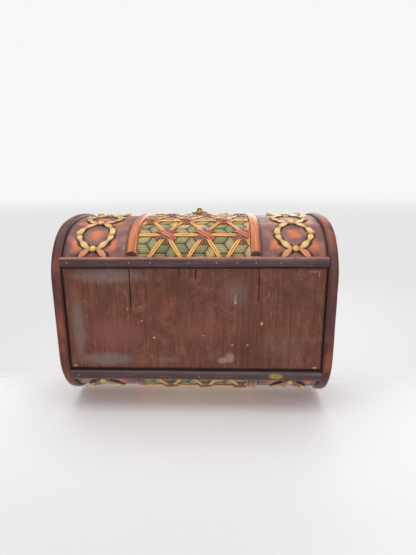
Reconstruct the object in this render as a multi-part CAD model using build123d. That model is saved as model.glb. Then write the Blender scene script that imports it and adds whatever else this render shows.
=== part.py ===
from build123d import *
import os
from math import atan2, ceil, cos, degrees, floor, hypot, pi, radians, sin, sqrt

# A barrel-shaped treasure chest: plywood carcass, bent cane hoops and ribs, leather-faced ends,
# woven mat in the middle with an open three-way strip lattice over it, and small brass hardware.
# Millimetres. X runs along the chest, -Y is the front, +Z is up. The origin is under its middle.

# Overall form, measured on the outer line of the hoops
chest_length = 240.0
chest_height = 155.0
base_flat_half = 33.0
base_corner_radius = 50.0
side_radius = 170.0
side_bulge_height = 75.0
shoulder_radius = 50.0
dome_radius = 105.0
seam_height = 98.0
seam_gap = 0.4

# Carcass
shell_thickness = 3.0
end_panel_thickness = 5.0
board_thickness = 4.6
board_play = 0.3

# Bent cane
hoop_width = 8.5
hoop_proud = 3.4
hoop_edge = 1.4
hoop_overhang = 0.5
cane_flats = 6
rib_width = 8.0
rib_proud = 3.2
rib_edge = 0.9
rib_spacing = 104.6
rib_end_gap = 2.2
rib_end_angle = 45.0
rail_inner = 46.8
rail_width = 8.6
rail_rounding = 2.6
rail_end_play = 0.3

# Facings
skin_thickness = 0.7
mat_thickness = 1.0
facing_play = 0.3

# Strip lattice over the mat
lattice_pitch = 33.0
lattice_row_pitch = 27.1
lattice_phase = 9.0
lattice_first_row = 49.4
strip_width = 3.4
strip_thickness = 0.6
strip_play = 0.06
strip_lift = 0.24
crossing_half = 4.4
crossing_ramp = 8.0
strip_edge_play = 0.6
shortest_strip = 8.5

# Scalloped strands and their beads
vine_inner_room = 14.6
vine_outer_room = 11.2
vine_pitch = 32.5
vine_first_crossing = 62.1
eye_fullness = 0.85
strand_width = 4.6
strand_lobe = 0.9
strand_thickness = 1.3
strand_lift = 0.12
strand_play = 0.3
strand_steps = 8
vine_seam_play = 1.5
bead_radius = 2.9
bead_top_radius = 1.5
bead_height = 1.6
bead_sides = 8

# Rail nails
nail_radius = 0.9
nail_height = 0.5
nail_count = 8
nail_span = 150.0
nail_sides = 8

# Brass hinges at the back
hinge_width = 9.0
hinge_leaf_length = 13.0
hinge_metal = 0.9
hinge_knuckle_radius = 1.7
hinge_pin_radius = 0.7
hinge_pin_play = 0.05
hinge_stand_off = 0.8
hinge_knuckle_gap = 0.3
hinge_arm_drop = 5.0
hinge_pin_head = 0.6
screw_radius = 1.2
screw_height = 0.6

# Brass hasp and staple at the front
clasp_centre = 1.5
plate_width = 16.0
plate_length = 10.0
plate_metal = 0.8
plate_rounding = 2.5
plate_nail_spacing = 12.4
hasp_drop = 2.4
hasp_knuckle_radius = 1.5
hasp_knuckle_gap = 0.3
flap_width = 9.6
flap_length = 20.0
lug_radius = 3.1
lug_hole_radius = 0.9
lug_metal = 1.2
lug_reach = 8.6
lug_from_pivot = 12.6
slot_play = 0.4

far = 2.0 * chest_length


# Outline of the barrel

def circle_meeting(first, first_radius, second, second_radius):
    """Upper crossing of two circles in the YZ plane, on the side away from the middle."""
    dy = second[0] - first[0]
    dz = second[1] - first[1]
    span = hypot(dy, dz)
    along = (first_radius**2 - second_radius**2 + span**2) / (2.0 * span)
    off = sqrt(first_radius**2 - along**2)
    foot = (first[0] + along * dy / span, first[1] + along * dz / span)
    return (foot[0] - off * dz / span, foot[1] + off * dy / span)


def direction(start, end):
    """Angle of the line between two points of the YZ plane, in degrees."""
    return degrees(atan2(end[1] - start[1], end[0] - start[0]))


corner_centre = (base_flat_half, base_corner_radius)
side_reach = sqrt((side_radius - base_corner_radius) ** 2 - (side_bulge_height - base_corner_radius) ** 2)
side_centre = (base_flat_half - side_reach, side_bulge_height)
dome_centre = (0.0, chest_height - dome_radius)
shoulder_centre = circle_meeting(
    side_centre, side_radius - shoulder_radius, dome_centre, dome_radius - shoulder_radius
)
corner_end = direction(side_centre, corner_centre)
side_end = direction(side_centre, shoulder_centre)
shoulder_end = direction(dome_centre, shoulder_centre)
outline_arcs = [
    (corner_centre, base_corner_radius, -90.0, corner_end),
    (side_centre, side_radius, corner_end, side_end),
    (shoulder_centre, shoulder_radius, side_end, shoulder_end),
    (dome_centre, dome_radius, shoulder_end, 90.0),
]
half_depth = side_centre[0] + side_radius


def outline(lift):
    """Closed cross-section of the barrel, lifted from the skin of the shells."""
    inset = hoop_proud - lift
    edges = [Line((-base_flat_half, inset), (base_flat_half, inset))]
    for centre, radius, start, end in outline_arcs:
        edges.append(CenterArc(centre, radius - inset, start, end - start))
        edges.append(CenterArc((-centre[0], centre[1]), radius - inset, 180.0 - end, end - start))
    return Plane.YZ * make_face(edges)


def barrel(lift, low_x, high_x):
    """Solid barrel between two planes across the chest."""
    return Pos(low_x, 0, 0) * extrude(outline(lift), high_x - low_x)


def band(low_lift, high_lift, low_x, high_x):
    """Ring of the barrel's form, between two lifts from the skin."""
    return barrel(high_lift, low_x, high_x) - barrel(low_lift, low_x - 1.0, high_x + 1.0)


def station(s, lift):
    """Point and outward angle at arc length s on the skin, from the bottom's middle up the front."""
    pieces = [(radius - hoop_proud) * radians(end - start) for _, radius, start, end in outline_arcs]
    half = base_flat_half + sum(pieces)
    side = -1.0 if s <= half else 1.0
    rest = (s if s <= half else 2.0 * half - s) - base_flat_half
    for (centre, radius, start, _), piece in zip(outline_arcs, pieces):
        if rest <= piece or centre is dome_centre:
            angle = radians(start) + rest / (radius - hoop_proud)
            reach = radius - hoop_proud + lift
            return (
                side * (centre[0] + reach * cos(angle)),
                centre[1] + reach * sin(angle),
                angle,
            )
        rest -= piece


def skin_length():
    """Arc length right round from the bottom's middle, up the front and down the back."""
    pieces = [(radius - hoop_proud) * radians(end - start) for _, radius, start, end in outline_arcs]
    return 2.0 * (base_flat_half + sum(pieces))


def station_at_height(height, lift=0.0):
    """Arc length on the front at which a line at this lift reaches a height."""
    low = base_flat_half
    high = skin_length() / 2.0
    for _ in range(40):
        middle = (low + high) / 2.0
        if station(middle, lift)[1] < height:
            low = middle
        else:
            high = middle
    return low


# Places that several pieces share
rail_height = hoop_proud + board_thickness
hoop_inner_x = chest_length / 2.0 - hoop_width
shell_end_x = hoop_inner_x + hoop_overhang
rib_x = rib_spacing / 2.0
panel_half = rib_x - rib_width / 2.0 - facing_play
skin_low_x = rib_x + rib_width / 2.0 + facing_play
skin_high_x = hoop_inner_x - facing_play
vine_centre = (skin_low_x + vine_inner_room + skin_high_x - vine_outer_room) / 2.0
vine_reach = (skin_high_x - vine_outer_room - skin_low_x - vine_inner_room) / 2.0
body_top = seam_height - seam_gap / 2.0
lid_bottom = seam_height + seam_gap / 2.0
seam_s = station_at_height(seam_height)
rail_s = station_at_height(rail_height)
total_s = skin_length()


def zone(low_y, high_y, low_z, high_z):
    """Clipping block across the whole length."""
    return Pos(0, (low_y + high_y) / 2.0, (low_z + high_z) / 2.0) * Box(
        far, high_y - low_y, high_z - low_z
    )


body_zone = zone(-far, far, -1.0, body_top)
lid_zone = zone(-far, far, lid_bottom, far)
wall_zone = {
    "front": zone(-far, 0.0, rail_height, body_top),
    "back": zone(0.0, far, rail_height, body_top),
    "lid": lid_zone,
}
sides = {"left": -1.0, "right": 1.0}


def span(side, near, distant):
    """Low and high X of a stretch that is mirrored about the middle."""
    ends = (sides[side] * near, sides[side] * distant)
    return min(ends), max(ends)


# Carcass

def bottom_board():
    half_x = hoop_inner_x - board_play
    half_y = rail_inner - board_play
    return Pos(0, 0, hoop_proud + board_thickness / 2.0) * Box(2.0 * half_x, 2.0 * half_y, board_thickness)


def end_panel(side, clip):
    low, high = span(side, shell_end_x, shell_end_x + end_panel_thickness)
    return barrel(0.0, low, high) & clip


def shell(wall):
    return band(-shell_thickness, 0.0, -shell_end_x, shell_end_x) & wall_zone[wall]


# Bent cane

def bent_cane(low_x, high_x, proud, edge):
    """Half-round cane bent round the barrel, its back drawn with narrow flats."""
    sections = []
    for index in range(cane_flats + 1):
        turn = pi * index / cane_flats
        x = low_x + (high_x - low_x) * (1.0 - cos(turn)) / 2.0
        lift = edge + (proud - edge) * sin(turn)
        sections.append(Pos(x, 0, 0) * outline(lift))
    return loft(sections, ruled=True) - barrel(0.0, low_x - 1.0, high_x + 1.0)


def hoop(side, clip):
    low, high = span(side, hoop_inner_x, chest_length / 2.0)
    return bent_cane(low, high, hoop_proud, hoop_edge) & clip


def rib(side, wall):
    """Split-cane rib, cut off aslant just above the rail on the two walls."""
    middle = sides[side] * rib_x
    cane = bent_cane(middle - rib_width / 2.0, middle + rib_width / 2.0, rib_proud, rib_edge)
    cane = cane & wall_zone[wall]
    if wall == "lid":
        return cane
    y, z, _ = station(rail_s, 0.0)
    facing = 1.0 if wall == "front" else -1.0
    cutter = Pos(0, 0, -far / 2.0) * Box(far, far, far)
    place = Pos(0, facing * y, z + rib_end_gap) * Rot(facing * (90.0 - rib_end_angle), 0, 0)
    return cane - place * cutter


def rail(facing):
    """Square-ended bottom rail with rounded edges, which the chest stands on."""
    length = 2.0 * (hoop_inner_x - rail_end_play)
    bar = Box(length, rail_width, rail_height)
    bar = fillet(bar.edges().filter_by(Axis.X), min(rail_rounding, 0.4 * rail_height, 0.4 * rail_width))
    return Pos(0, facing * (rail_inner + rail_width / 2.0), rail_height / 2.0) * bar


# Facings

def mat(wall):
    return band(0.0, mat_thickness, -panel_half, panel_half) & wall_zone[wall]


def leather(side, wall):
    low, high = span(side, skin_low_x, skin_high_x)
    return band(0.0, skin_thickness, low, high) & wall_zone[wall]


# Strip lattice

def ring_solid(rings):
    """Closed solid through rings of corners, with flat triangles between one ring and the next."""
    faces = [Face(Wire.make_polygon(ring, close=True)) for ring in (rings[0], rings[-1])]
    for ring, following in zip(rings, rings[1:]):
        for index in range(len(ring)):
            a, b, c, d = ring[index - 1], ring[index], following[index], following[index - 1]
            faces.append(Face(Wire.make_polygon([a, b, c], close=True)))
            faces.append(Face(Wire.make_polygon([a, c, d], close=True)))
    return Solid(Shell(faces))


def ribbon(points, width_at, low_at, thickness):
    """Flat strip along points (x, s) of the unrolled skin."""
    rings = []
    for index, (x, s) in enumerate(points):
        before = points[max(index - 1, 0)]
        after = points[min(index + 1, len(points) - 1)]
        run = hypot(after[0] - before[0], after[1] - before[1])
        y, z, angle = station(s, low_at(index))
        front = 1.0 if s < total_s / 2.0 else -1.0
        outward = Vector(0, -front * cos(angle), sin(angle))
        onward = Vector(0, sin(angle), front * cos(angle))
        across = Vector(-(after[1] - before[1]) / run, 0, 0) + onward * ((after[0] - before[0]) / run)
        half = across * (width_at(index) / 2.0)
        foot = Vector(x, y, z)
        top = foot + outward * thickness
        rings.append([foot - half, foot + half, top + half, top - half])
    return ring_solid(rings)


def crossing_lift(distance, layer):
    """Height of a strip above the mat: it climbs over the strips under it at each crossing."""
    top = layer * (strip_thickness + strip_play)
    if distance <= crossing_half:
        return top
    return top * max(0.0, 1.0 - (distance - crossing_half) / crossing_ramp)


def strip_stops(length, first, pitch, layer):
    """Places along a strip where its height changes, from its first crossing on."""
    if layer == 0:
        return [0.0, length]
    offsets = (-crossing_half - crossing_ramp, -crossing_half, crossing_half, crossing_half + crossing_ramp)
    stops = [0.0, length]
    count = ceil(length / pitch) + 1
    for crossing in range(-1, count + 1):
        for offset in offsets:
            place = first + crossing * pitch + offset
            if 1.0 < place < length - 1.0:
                stops.append(place)
    return sorted(stops)


def lattice_strip(start, heading, length, first, pitch, layer):
    """One strip of the lattice: straight on the unrolled skin, lifted at its crossings."""
    stops = strip_stops(length, first, pitch, layer)
    points = [(start[0] + t * cos(heading), start[1] + t * sin(heading)) for t in stops]

    def low_at(index):
        away = abs((stops[index] - first + pitch / 2.0) % pitch - pitch / 2.0)
        return mat_thickness + strip_lift + crossing_lift(away, layer)

    return ribbon(points, lambda index: strip_width, low_at, strip_thickness)


def clip_line(origin, heading, low_s, high_s):
    """Distances along a line of the unrolled skin at which it enters and leaves the panel."""
    slope = (cos(heading), sin(heading))
    limits = []
    for place, step, low, high in (
        (origin[0], slope[0], -panel_half, panel_half),
        (origin[1], slope[1], low_s, high_s),
    ):
        if abs(step) > 1e-6:
            limits.append(sorted(((low - place) / step, (high - place) / step)))
    return max(a for a, _ in limits), min(b for _, b in limits)


def lattice(wall):
    """All strips of one panel: level ones lowest, then the two slanting sets."""
    low_s = {"front": rail_s, "back": total_s - seam_s, "lid": seam_s}[wall]
    high_s = {"front": seam_s, "back": total_s - rail_s, "lid": total_s - seam_s}[wall]
    panel = Box(2.0 * (panel_half - strip_edge_play), far, far)
    clip = panel & wall_zone[wall]
    strips = []
    first_row = lattice_first_row if wall != "back" else total_s - lattice_first_row
    lowest = ceil((low_s - first_row) / lattice_row_pitch)
    highest = floor((high_s - first_row) / lattice_row_pitch)
    for row in range(lowest, highest + 1):
        s = first_row + row * lattice_row_pitch
        if min(s - low_s, high_s - s) < strip_width:
            continue
        phase = lattice_phase + (row % 2 - 1) * lattice_pitch / 2.0
        first = (phase + panel_half) % lattice_pitch
        strips.append(lattice_strip((-panel_half, s), 0.0, 2.0 * panel_half, first, lattice_pitch, 0))
    slant = atan2(lattice_row_pitch, lattice_pitch / 2.0)
    slant_pitch = hypot(lattice_row_pitch, lattice_pitch / 2.0)
    margin = strip_width
    for layer, heading in ((1, slant), (2, pi - slant)):
        count = ceil((chest_length + total_s) / lattice_pitch)
        for index in range(-count, count + 1):
            origin = (lattice_phase - lattice_pitch / 2.0 + index * lattice_pitch, first_row)
            start, end = clip_line(origin, heading, low_s, high_s)
            if end - start < shortest_strip:
                continue
            begin = (
                origin[0] + (start - margin) * cos(heading),
                origin[1] + (start - margin) * sin(heading),
            )
            first = (margin - start) % slant_pitch
            length = end - start + 2.0 * margin
            strips.append(lattice_strip(begin, heading, length, first, slant_pitch, layer))
    return [solid for strip in strips for solid in (strip & clip).solids()]


# Scalloped strands and beads

strand_base = skin_thickness + strand_lift


def vine_range(wall):
    """Arc lengths where the strands of a wall start and end."""
    low_end = station_at_height(rail_height + facing_play, strand_base + strand_thickness)
    high_end = station_at_height(seam_height) - vine_seam_play
    lid_end = seam_s + vine_seam_play
    return {
        "front": (low_end, high_end),
        "back": (total_s - high_end, total_s - low_end),
        "lid": (lid_end, total_s - lid_end),
    }[wall]


def vine_origin(wall):
    """Arc length of one crossing of a chain; on the lid it is the one at the top."""
    return total_s / 2.0 if wall == "lid" else vine_first_crossing


def vine_phase(wall, s):
    """Turn of the chain of eyes at s: 0 at a crossing, half a turn at the widest place."""
    if wall == "back":
        s = total_s - s
    return (s - vine_origin(wall)) / vine_pitch


def strand_stops(wall):
    """Arc lengths of a strand's sections: its two ends, and even steps from a crossing between them."""
    low_s, high_s = vine_range(wall)
    origin = total_s - vine_origin(wall) if wall == "back" else vine_origin(wall)
    step = vine_pitch / strand_steps
    stops = [low_s]
    for index in range(ceil((low_s - origin) / step), floor((high_s - origin) / step) + 1):
        s = origin + index * step
        if low_s + step / 4.0 < s < high_s - step / 4.0:
            stops.append(s)
    return stops + [high_s]


def strand(side, wall, hand):
    """One scalloped strand, which swings out to the widest place of each eye and back."""
    middle = sides[side] * vine_centre
    kiss = (strand_width + strand_lobe) / 2.0 + strand_play
    points = []
    widths = []
    for s in strand_stops(wall):
        turn = vine_phase(wall, s)
        swing = kiss + (vine_reach - kiss) * abs(sin(pi * turn)) ** eye_fullness
        points.append((middle + hand * swing, s))
        widths.append(strand_width + strand_lobe * cos(4.0 * pi * turn + pi))
    return ribbon(points, lambda index: widths[index], lambda index: strand_base, strand_thickness)


def vine(side, wall):
    return [strand(side, wall, hand) for hand in (-1.0, 1.0)]


def stud(x, s, lift, radius, top_radius, height, count):
    """Low domed head with a few facets, square to the skin."""
    y, z, angle = station(s, lift)
    outward = Vector(0, cos(angle) if y > 0 else -cos(angle), sin(angle))
    seat = Plane(origin=(x, y, z), x_dir=(1, 0, 0), z_dir=outward)
    foot = [seat.from_local_coords(point) for point in ring_points(radius, count, 0.0)]
    top = [seat.from_local_coords(point) for point in ring_points(top_radius, count, height)]
    return ring_solid([foot, top])


def ring_points(radius, count, level):
    """Corners of a regular polygon."""
    return [(radius * cos(2 * pi * i / count), radius * sin(2 * pi * i / count), level) for i in range(count)]


def bead_places(wall):
    """Places of the beads on one chain: on each crossing and on both sides of each eye."""
    low_s, high_s = vine_range(wall)
    first = ceil(2.0 * min(vine_phase(wall, low_s), vine_phase(wall, high_s)))
    last = floor(2.0 * max(vine_phase(wall, low_s), vine_phase(wall, high_s)))
    places = []
    for half_turn in range(first, last + 1):
        s = vine_origin(wall) + half_turn * vine_pitch / 2.0
        s = total_s - s if wall == "back" else s
        if not low_s + bead_radius < s < high_s - bead_radius:
            continue
        offsets = (0.0,) if half_turn % 2 == 0 else (-vine_reach, vine_reach)
        places.extend((offset, s) for offset in offsets)
    return places


def beads(walls):
    lift = strand_base + strand_thickness
    heads = []
    for wall in walls:
        for side in sides:
            middle = sides[side] * vine_centre
            for offset, s in bead_places(wall):
                place = (middle + offset, s, lift, bead_radius, bead_top_radius, bead_height, bead_sides)
                heads.append(stud(*place))
    return heads


def rail_nails():
    """Nail heads on the lower front corner of the front rail and the back one of the rear rail."""
    heads = []
    for facing in (-1.0, 1.0):
        face_y = facing * (rail_inner + rail_width)
        for index in range(nail_count):
            x = nail_span * (index / (nail_count - 1) - 0.5)
            foot = ring_points(nail_radius, nail_sides, 0.0)
            seat = Plane(origin=(x, face_y, rail_height / 2.0), x_dir=(1, 0, 0), z_dir=(0, facing, 0))
            heads.append(extrude(seat * Face(Wire.make_polygon(foot, close=True)), nail_height))
    return heads


# Brass hinges

hinge_x = (skin_low_x + vine_centre - vine_reach - (strand_width + strand_lobe) / 2.0) / 2.0
hinge_axis_y = half_depth + hinge_stand_off
leaf_base = skin_thickness


def knuckle(low_x, high_x, y, z, radius):
    return Pos((low_x + high_x) / 2.0, y, z) * Rot(0, 90, 0) * Cylinder(radius, high_x - low_x)


def hinge_leaf(side, upper):
    """Leaf that hugs the leather, with an arm that carries its knuckles out past the hoops."""
    sign = 1.0 if upper else -1.0
    middle = sides[side] * hinge_x
    low_x = middle - hinge_width / 2.0
    high_x = middle + hinge_width / 2.0
    edge_z = lid_bottom if upper else body_top
    end_z = edge_z + sign * hinge_leaf_length
    wrap = band(leaf_base, leaf_base + hinge_metal, low_x, high_x)
    leaf = wrap & zone(0.0, far, min(edge_z, end_z), max(edge_z, end_z))
    wall_y = station_y(edge_z, leaf_base + hinge_metal / 2.0)
    root_y = station_y(edge_z + sign * hinge_arm_drop, leaf_base + hinge_metal / 2.0)
    near = seam_height + sign * hinge_knuckle_gap
    corners = [
        (wall_y, near),
        (hinge_axis_y, near),
        (hinge_axis_y, seam_height + sign * hinge_knuckle_radius),
        (root_y, edge_z + sign * hinge_arm_drop),
    ]
    web = Plane.YZ * Face(Wire.make_polygon([Vector(y, z) for y, z in corners], close=True))
    third = hinge_width / 3.0
    inner = (middle - third / 2.0, middle + third / 2.0)
    outer = [(low_x, inner[0] - hinge_knuckle_gap), (inner[1] + hinge_knuckle_gap, high_x)]
    result = leaf
    for start, end in outer if upper else [inner]:
        arm = Pos(start, 0, 0) * extrude(web, end - start, dir=(1, 0, 0))
        arm += knuckle(start, end, hinge_axis_y, seam_height, hinge_knuckle_radius)
        result += arm
    bore = hinge_pin_radius + hinge_pin_play
    return result - knuckle(low_x - 1.0, high_x + 1.0, hinge_axis_y, seam_height, bore)


def station_y(height, lift):
    """Depth of the back wall at a height, at a lift from the skin."""
    s = station_at_height(height)
    return -station(s, lift)[0]


def headed_pin(low_x, high_x, y, z, radius, head_radius, head):
    """Pin with a flat head at each end, as riveted over."""
    pin = knuckle(low_x - head, high_x + head, y, z, radius)
    for start in (low_x - head, high_x):
        pin += knuckle(start, start + head, y, z, head_radius)
    return pin


def hinge_pin(side):
    low_x = sides[side] * hinge_x - hinge_width / 2.0 - hinge_knuckle_gap / 2.0
    high_x = low_x + hinge_width + hinge_knuckle_gap
    head_radius = (hinge_knuckle_radius + hinge_pin_radius) / 2.0
    return headed_pin(low_x, high_x, hinge_axis_y, seam_height, hinge_pin_radius, head_radius, hinge_pin_head)


def hinge_screws(upper):
    """Two screw heads on each leaf, near its free end."""
    sign = 1.0 if upper else -1.0
    edge_z = lid_bottom if upper else body_top
    height = edge_z + sign * (hinge_leaf_length - 2.0 * screw_radius)
    s = total_s - station_at_height(height)
    heads = []
    for side in sides:
        for offset in (-hinge_width / 4.0, hinge_width / 4.0):
            x = sides[side] * hinge_x + offset
            lift = leaf_base + hinge_metal
            heads.append(stud(x, s, lift, screw_radius, 0.7 * screw_radius, screw_height, nail_sides))
    return heads


# Brass hasp and staple

plate_lift = mat_thickness + strip_lift + 3.0 * (strip_thickness + strip_play)
hasp_pivot_s = seam_s + hasp_drop
hasp_y, hasp_z, hasp_angle = station(hasp_pivot_s, plate_lift + hasp_knuckle_radius)
hasp_pin_play = hinge_pin_play
staple_s = hasp_pivot_s - lug_from_pivot


def front_plate(low_s, high_s):
    """Thin plate hugging the weave on the front, with rounded corners."""
    low_z = station(low_s, plate_lift)[1]
    high_z = station(high_s, plate_lift)[1]
    height = high_z - low_z
    blank = Pos(clasp_centre, 0, (low_z + high_z) / 2.0) * Rot(90, 0, 0) * extrude(
        RectangleRounded(plate_width, height, min(plate_rounding, 0.4 * height)), far / 2.0
    )
    return band(plate_lift, plate_lift + plate_metal, -panel_half, panel_half) & blank


def plate_nails(s):
    lift = plate_lift + plate_metal
    heads = []
    for hand in (-0.5, 0.5):
        x = clasp_centre + hand * plate_nail_spacing
        heads.append(stud(x, s, lift, screw_radius, 0.7 * screw_radius, screw_height, nail_sides))
    return heads


def hasp_knuckles():
    """X ranges of the hasp's knuckles: the outer two on the plate, the middle one on the flap."""
    low_x = clasp_centre - flap_width / 2.0
    third = flap_width / 3.0
    middle = (low_x + third + hasp_knuckle_gap / 2.0, low_x + 2.0 * third - hasp_knuckle_gap / 2.0)
    outer = [
        (low_x, low_x + third - hasp_knuckle_gap / 2.0),
        (low_x + 2.0 * third + hasp_knuckle_gap / 2.0, low_x + flap_width),
    ]
    return middle, outer


hasp_plate_low_s = hasp_pivot_s + hasp_knuckle_radius + hasp_knuckle_gap
hasp_plate_high_s = hasp_plate_low_s + plate_length


def hasp_plate():
    """Lid plate, with two tabs rolled round the pin."""
    _, outer = hasp_knuckles()
    plate = front_plate(hasp_plate_low_s, hasp_plate_high_s)
    root_y, root_z, _ = station(hasp_plate_low_s + 1.0, plate_lift + plate_metal / 2.0)
    low_y, low_z, _ = station(hasp_pivot_s, plate_lift)
    corners = [
        (low_y, low_z),
        (root_y + plate_metal / 2.0, root_z),
        (root_y - plate_metal / 2.0, root_z),
        (hasp_y, hasp_z),
    ]
    web = Plane.YZ * Face(Wire.make_polygon([Vector(y, z) for y, z in corners], close=True))
    for start, end in outer:
        plate += Pos(start, 0, 0) * extrude(web, end - start, dir=(1, 0, 0))
        plate += knuckle(start, end, hasp_y, hasp_z, hasp_knuckle_radius)
    bore = hinge_pin_radius + hasp_pin_play
    return plate - knuckle(-panel_half, panel_half, hasp_y, hasp_z, bore)


def flap_shape():
    """Flap drawn flat: its pivot at the origin, hanging towards -Y of the sketch."""
    middle, _ = hasp_knuckles()
    neck = middle[1] - middle[0]
    shoulder = hasp_knuckle_radius + hasp_knuckle_gap
    tongue_length = flap_length - shoulder
    tongue = Pos(0, -shoulder - tongue_length / 2.0) * RectangleRounded(
        flap_width, tongue_length, min(0.45 * flap_width, 0.45 * tongue_length)
    )
    squared = Pos(0, -shoulder - tongue_length / 4.0) * Rectangle(flap_width, tongue_length / 2.0)
    stem = Pos(0, -shoulder / 2.0 - 0.5) * Rectangle(neck, shoulder + 1.0)
    return tongue + squared + stem


def lug_span():
    """Nearest and furthest distance from the hasp's pivot to the stretch of lug outside its plate."""
    skin_y, middle_z, _ = station(staple_s, 0.0)
    root_y = station(staple_s, plate_lift + plate_metal)[0]
    distances = [
        hypot(y - hasp_y, middle_z + offset - hasp_z)
        for y in (root_y, skin_y - lug_reach)
        for offset in (-lug_metal / 2.0, lug_metal / 2.0)
    ]
    return min(distances), max(distances)


def hasp_flap():
    """Flap at rest: unhooked, and leaning back on the lid."""
    middle, _ = hasp_knuckles()
    near, away = lug_span()
    slot_width = 2.0 * (lug_radius + slot_play)
    slot_height = away - near + 2.0 * slot_play
    window = Pos(0, -(near + away) / 2.0) * RectangleRounded(slot_width, slot_height, slot_height / 5.0)
    sheet = extrude(flap_shape() - window, plate_metal / 2.0, both=True)
    roll = Rot(0, 90, 0) * Cylinder(hasp_knuckle_radius, middle[1] - middle[0])
    bore = Rot(0, 90, 0) * Cylinder(hinge_pin_radius + hasp_pin_play, flap_width)
    flap = sheet + roll - bore
    return Pos(clasp_centre, hasp_y, hasp_z) * Rot(-90.0 - degrees(hasp_angle), 0, 0) * flap


def hasp_pin():
    low_x = clasp_centre - flap_width / 2.0 - hasp_knuckle_gap / 2.0
    high_x = low_x + flap_width + hasp_knuckle_gap
    head_radius = (hasp_knuckle_radius + hinge_pin_radius) / 2.0
    return headed_pin(low_x, high_x, hasp_y, hasp_z, hinge_pin_radius, head_radius, hinge_pin_head)


def staple():
    """Staple plate with the pierced lug that the flap's slot drops over."""
    low_s = staple_s - plate_length / 2.0
    plate = front_plate(low_s, low_s + plate_length)
    y, z, _ = station(staple_s, 0.0)
    eye = lug_reach - lug_radius
    inner = plate_lift + plate_metal / 2.0
    outline_2d = Pos(0, -eye) * Circle(lug_radius) + Pos(0, -(eye + inner) / 2.0) * Rectangle(
        2.0 * lug_radius, eye - inner
    )
    lug = extrude(outline_2d - Pos(0, -eye) * Circle(lug_hole_radius), lug_metal / 2.0, both=True)
    return plate + Pos(clasp_centre, y, z) * lug


# Write every piece

def pieces():
    result = {"bottom_board": bottom_board()}
    for side in sides:
        result[f"end_panel_{side}"] = end_panel(side, body_zone)
        result[f"lid_end_{side}"] = end_panel(side, lid_zone)
        result[f"body_hoop_{side}"] = hoop(side, body_zone)
        result[f"lid_hoop_{side}"] = hoop(side, lid_zone)
        for wall in wall_zone:
            result[f"{wall}_rib_{side}"] = rib(side, wall)
            result[f"{wall}_leather_{side}"] = leather(side, wall)
            result[f"{wall}_vine_{side}"] = vine(side, wall)
        result[f"hinge_lower_leaf_{side}"] = hinge_leaf(side, False)
        result[f"hinge_upper_leaf_{side}"] = hinge_leaf(side, True)
        result[f"hinge_pin_{side}"] = hinge_pin(side)
    for wall in wall_zone:
        result[f"{wall}_shell"] = shell(wall)
        result[f"{wall}_mat"] = mat(wall)
        result[f"{wall}_lattice"] = lattice(wall)
    result["front_rail"] = rail(-1.0)
    result["rear_rail"] = rail(1.0)
    result["rail_nails"] = rail_nails()
    result["body_beads"] = beads(["front", "back"])
    result["lid_beads"] = beads(["lid"])
    result["hinge_lower_screws"] = hinge_screws(False)
    result["hinge_upper_screws"] = hinge_screws(True)
    result["hasp_plate"] = hasp_plate()
    result["hasp_nails"] = plate_nails((hasp_plate_low_s + hasp_plate_high_s) / 2.0)
    result["hasp_flap"] = hasp_flap()
    result["hasp_pin"] = hasp_pin()
    result["staple"] = staple()
    result["staple_nails"] = plate_nails(staple_s)
    return result


os.makedirs("parts", exist_ok=True)
for name, shape in pieces().items():
    if isinstance(shape, list):
        shape = Compound(children=shape)
    export_step(shape, f"parts/{name}.step")
print("hinge axis", round(hinge_axis_y, 3), seam_height, "hasp axis", round(hasp_y, 3), round(hasp_z, 3))
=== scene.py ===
from math import atan2, ceil, cos, floor, hypot, pi, radians, sin, sqrt

import bmesh
import bpy
from mathutils import Matrix, Vector, noise


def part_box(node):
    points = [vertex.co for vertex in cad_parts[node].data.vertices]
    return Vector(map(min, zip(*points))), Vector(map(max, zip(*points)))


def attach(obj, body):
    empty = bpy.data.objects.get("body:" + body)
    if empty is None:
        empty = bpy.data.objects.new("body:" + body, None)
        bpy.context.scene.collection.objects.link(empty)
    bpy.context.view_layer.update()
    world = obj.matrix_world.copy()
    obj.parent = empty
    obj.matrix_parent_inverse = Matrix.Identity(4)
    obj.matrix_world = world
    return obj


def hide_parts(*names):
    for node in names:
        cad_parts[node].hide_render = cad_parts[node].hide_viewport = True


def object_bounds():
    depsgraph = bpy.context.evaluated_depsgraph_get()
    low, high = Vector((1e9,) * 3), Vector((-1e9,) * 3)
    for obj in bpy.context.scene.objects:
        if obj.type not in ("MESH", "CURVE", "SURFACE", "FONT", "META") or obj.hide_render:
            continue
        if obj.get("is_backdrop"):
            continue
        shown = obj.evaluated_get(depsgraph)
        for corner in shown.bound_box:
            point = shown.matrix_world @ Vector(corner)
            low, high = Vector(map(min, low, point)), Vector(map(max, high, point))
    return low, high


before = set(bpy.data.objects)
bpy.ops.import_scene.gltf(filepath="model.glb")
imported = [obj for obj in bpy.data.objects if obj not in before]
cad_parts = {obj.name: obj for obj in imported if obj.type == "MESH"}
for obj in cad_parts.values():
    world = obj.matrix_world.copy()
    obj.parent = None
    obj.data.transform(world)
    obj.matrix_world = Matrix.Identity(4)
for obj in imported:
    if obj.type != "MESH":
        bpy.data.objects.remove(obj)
cad_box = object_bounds()

# Shapes are worked out in millimetres, and turned into metres when a mesh is made
# The backdrop, the lamps and the camera are placed in metres
mm = 0.001


# Outline of the barrel, as built

base_flat_half = 33.0
base_corner_radius = 50.0
side_radius = 170.0
side_bulge_height = 75.0
shoulder_radius = 50.0
dome_radius = 105.0
hoop_proud = 3.4
seam_height = 98.0
seam_gap = 0.4
chest_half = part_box("body_hoop_right")[1][0] / mm
chest_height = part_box("lid_hoop_right")[1][2] / mm


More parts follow.
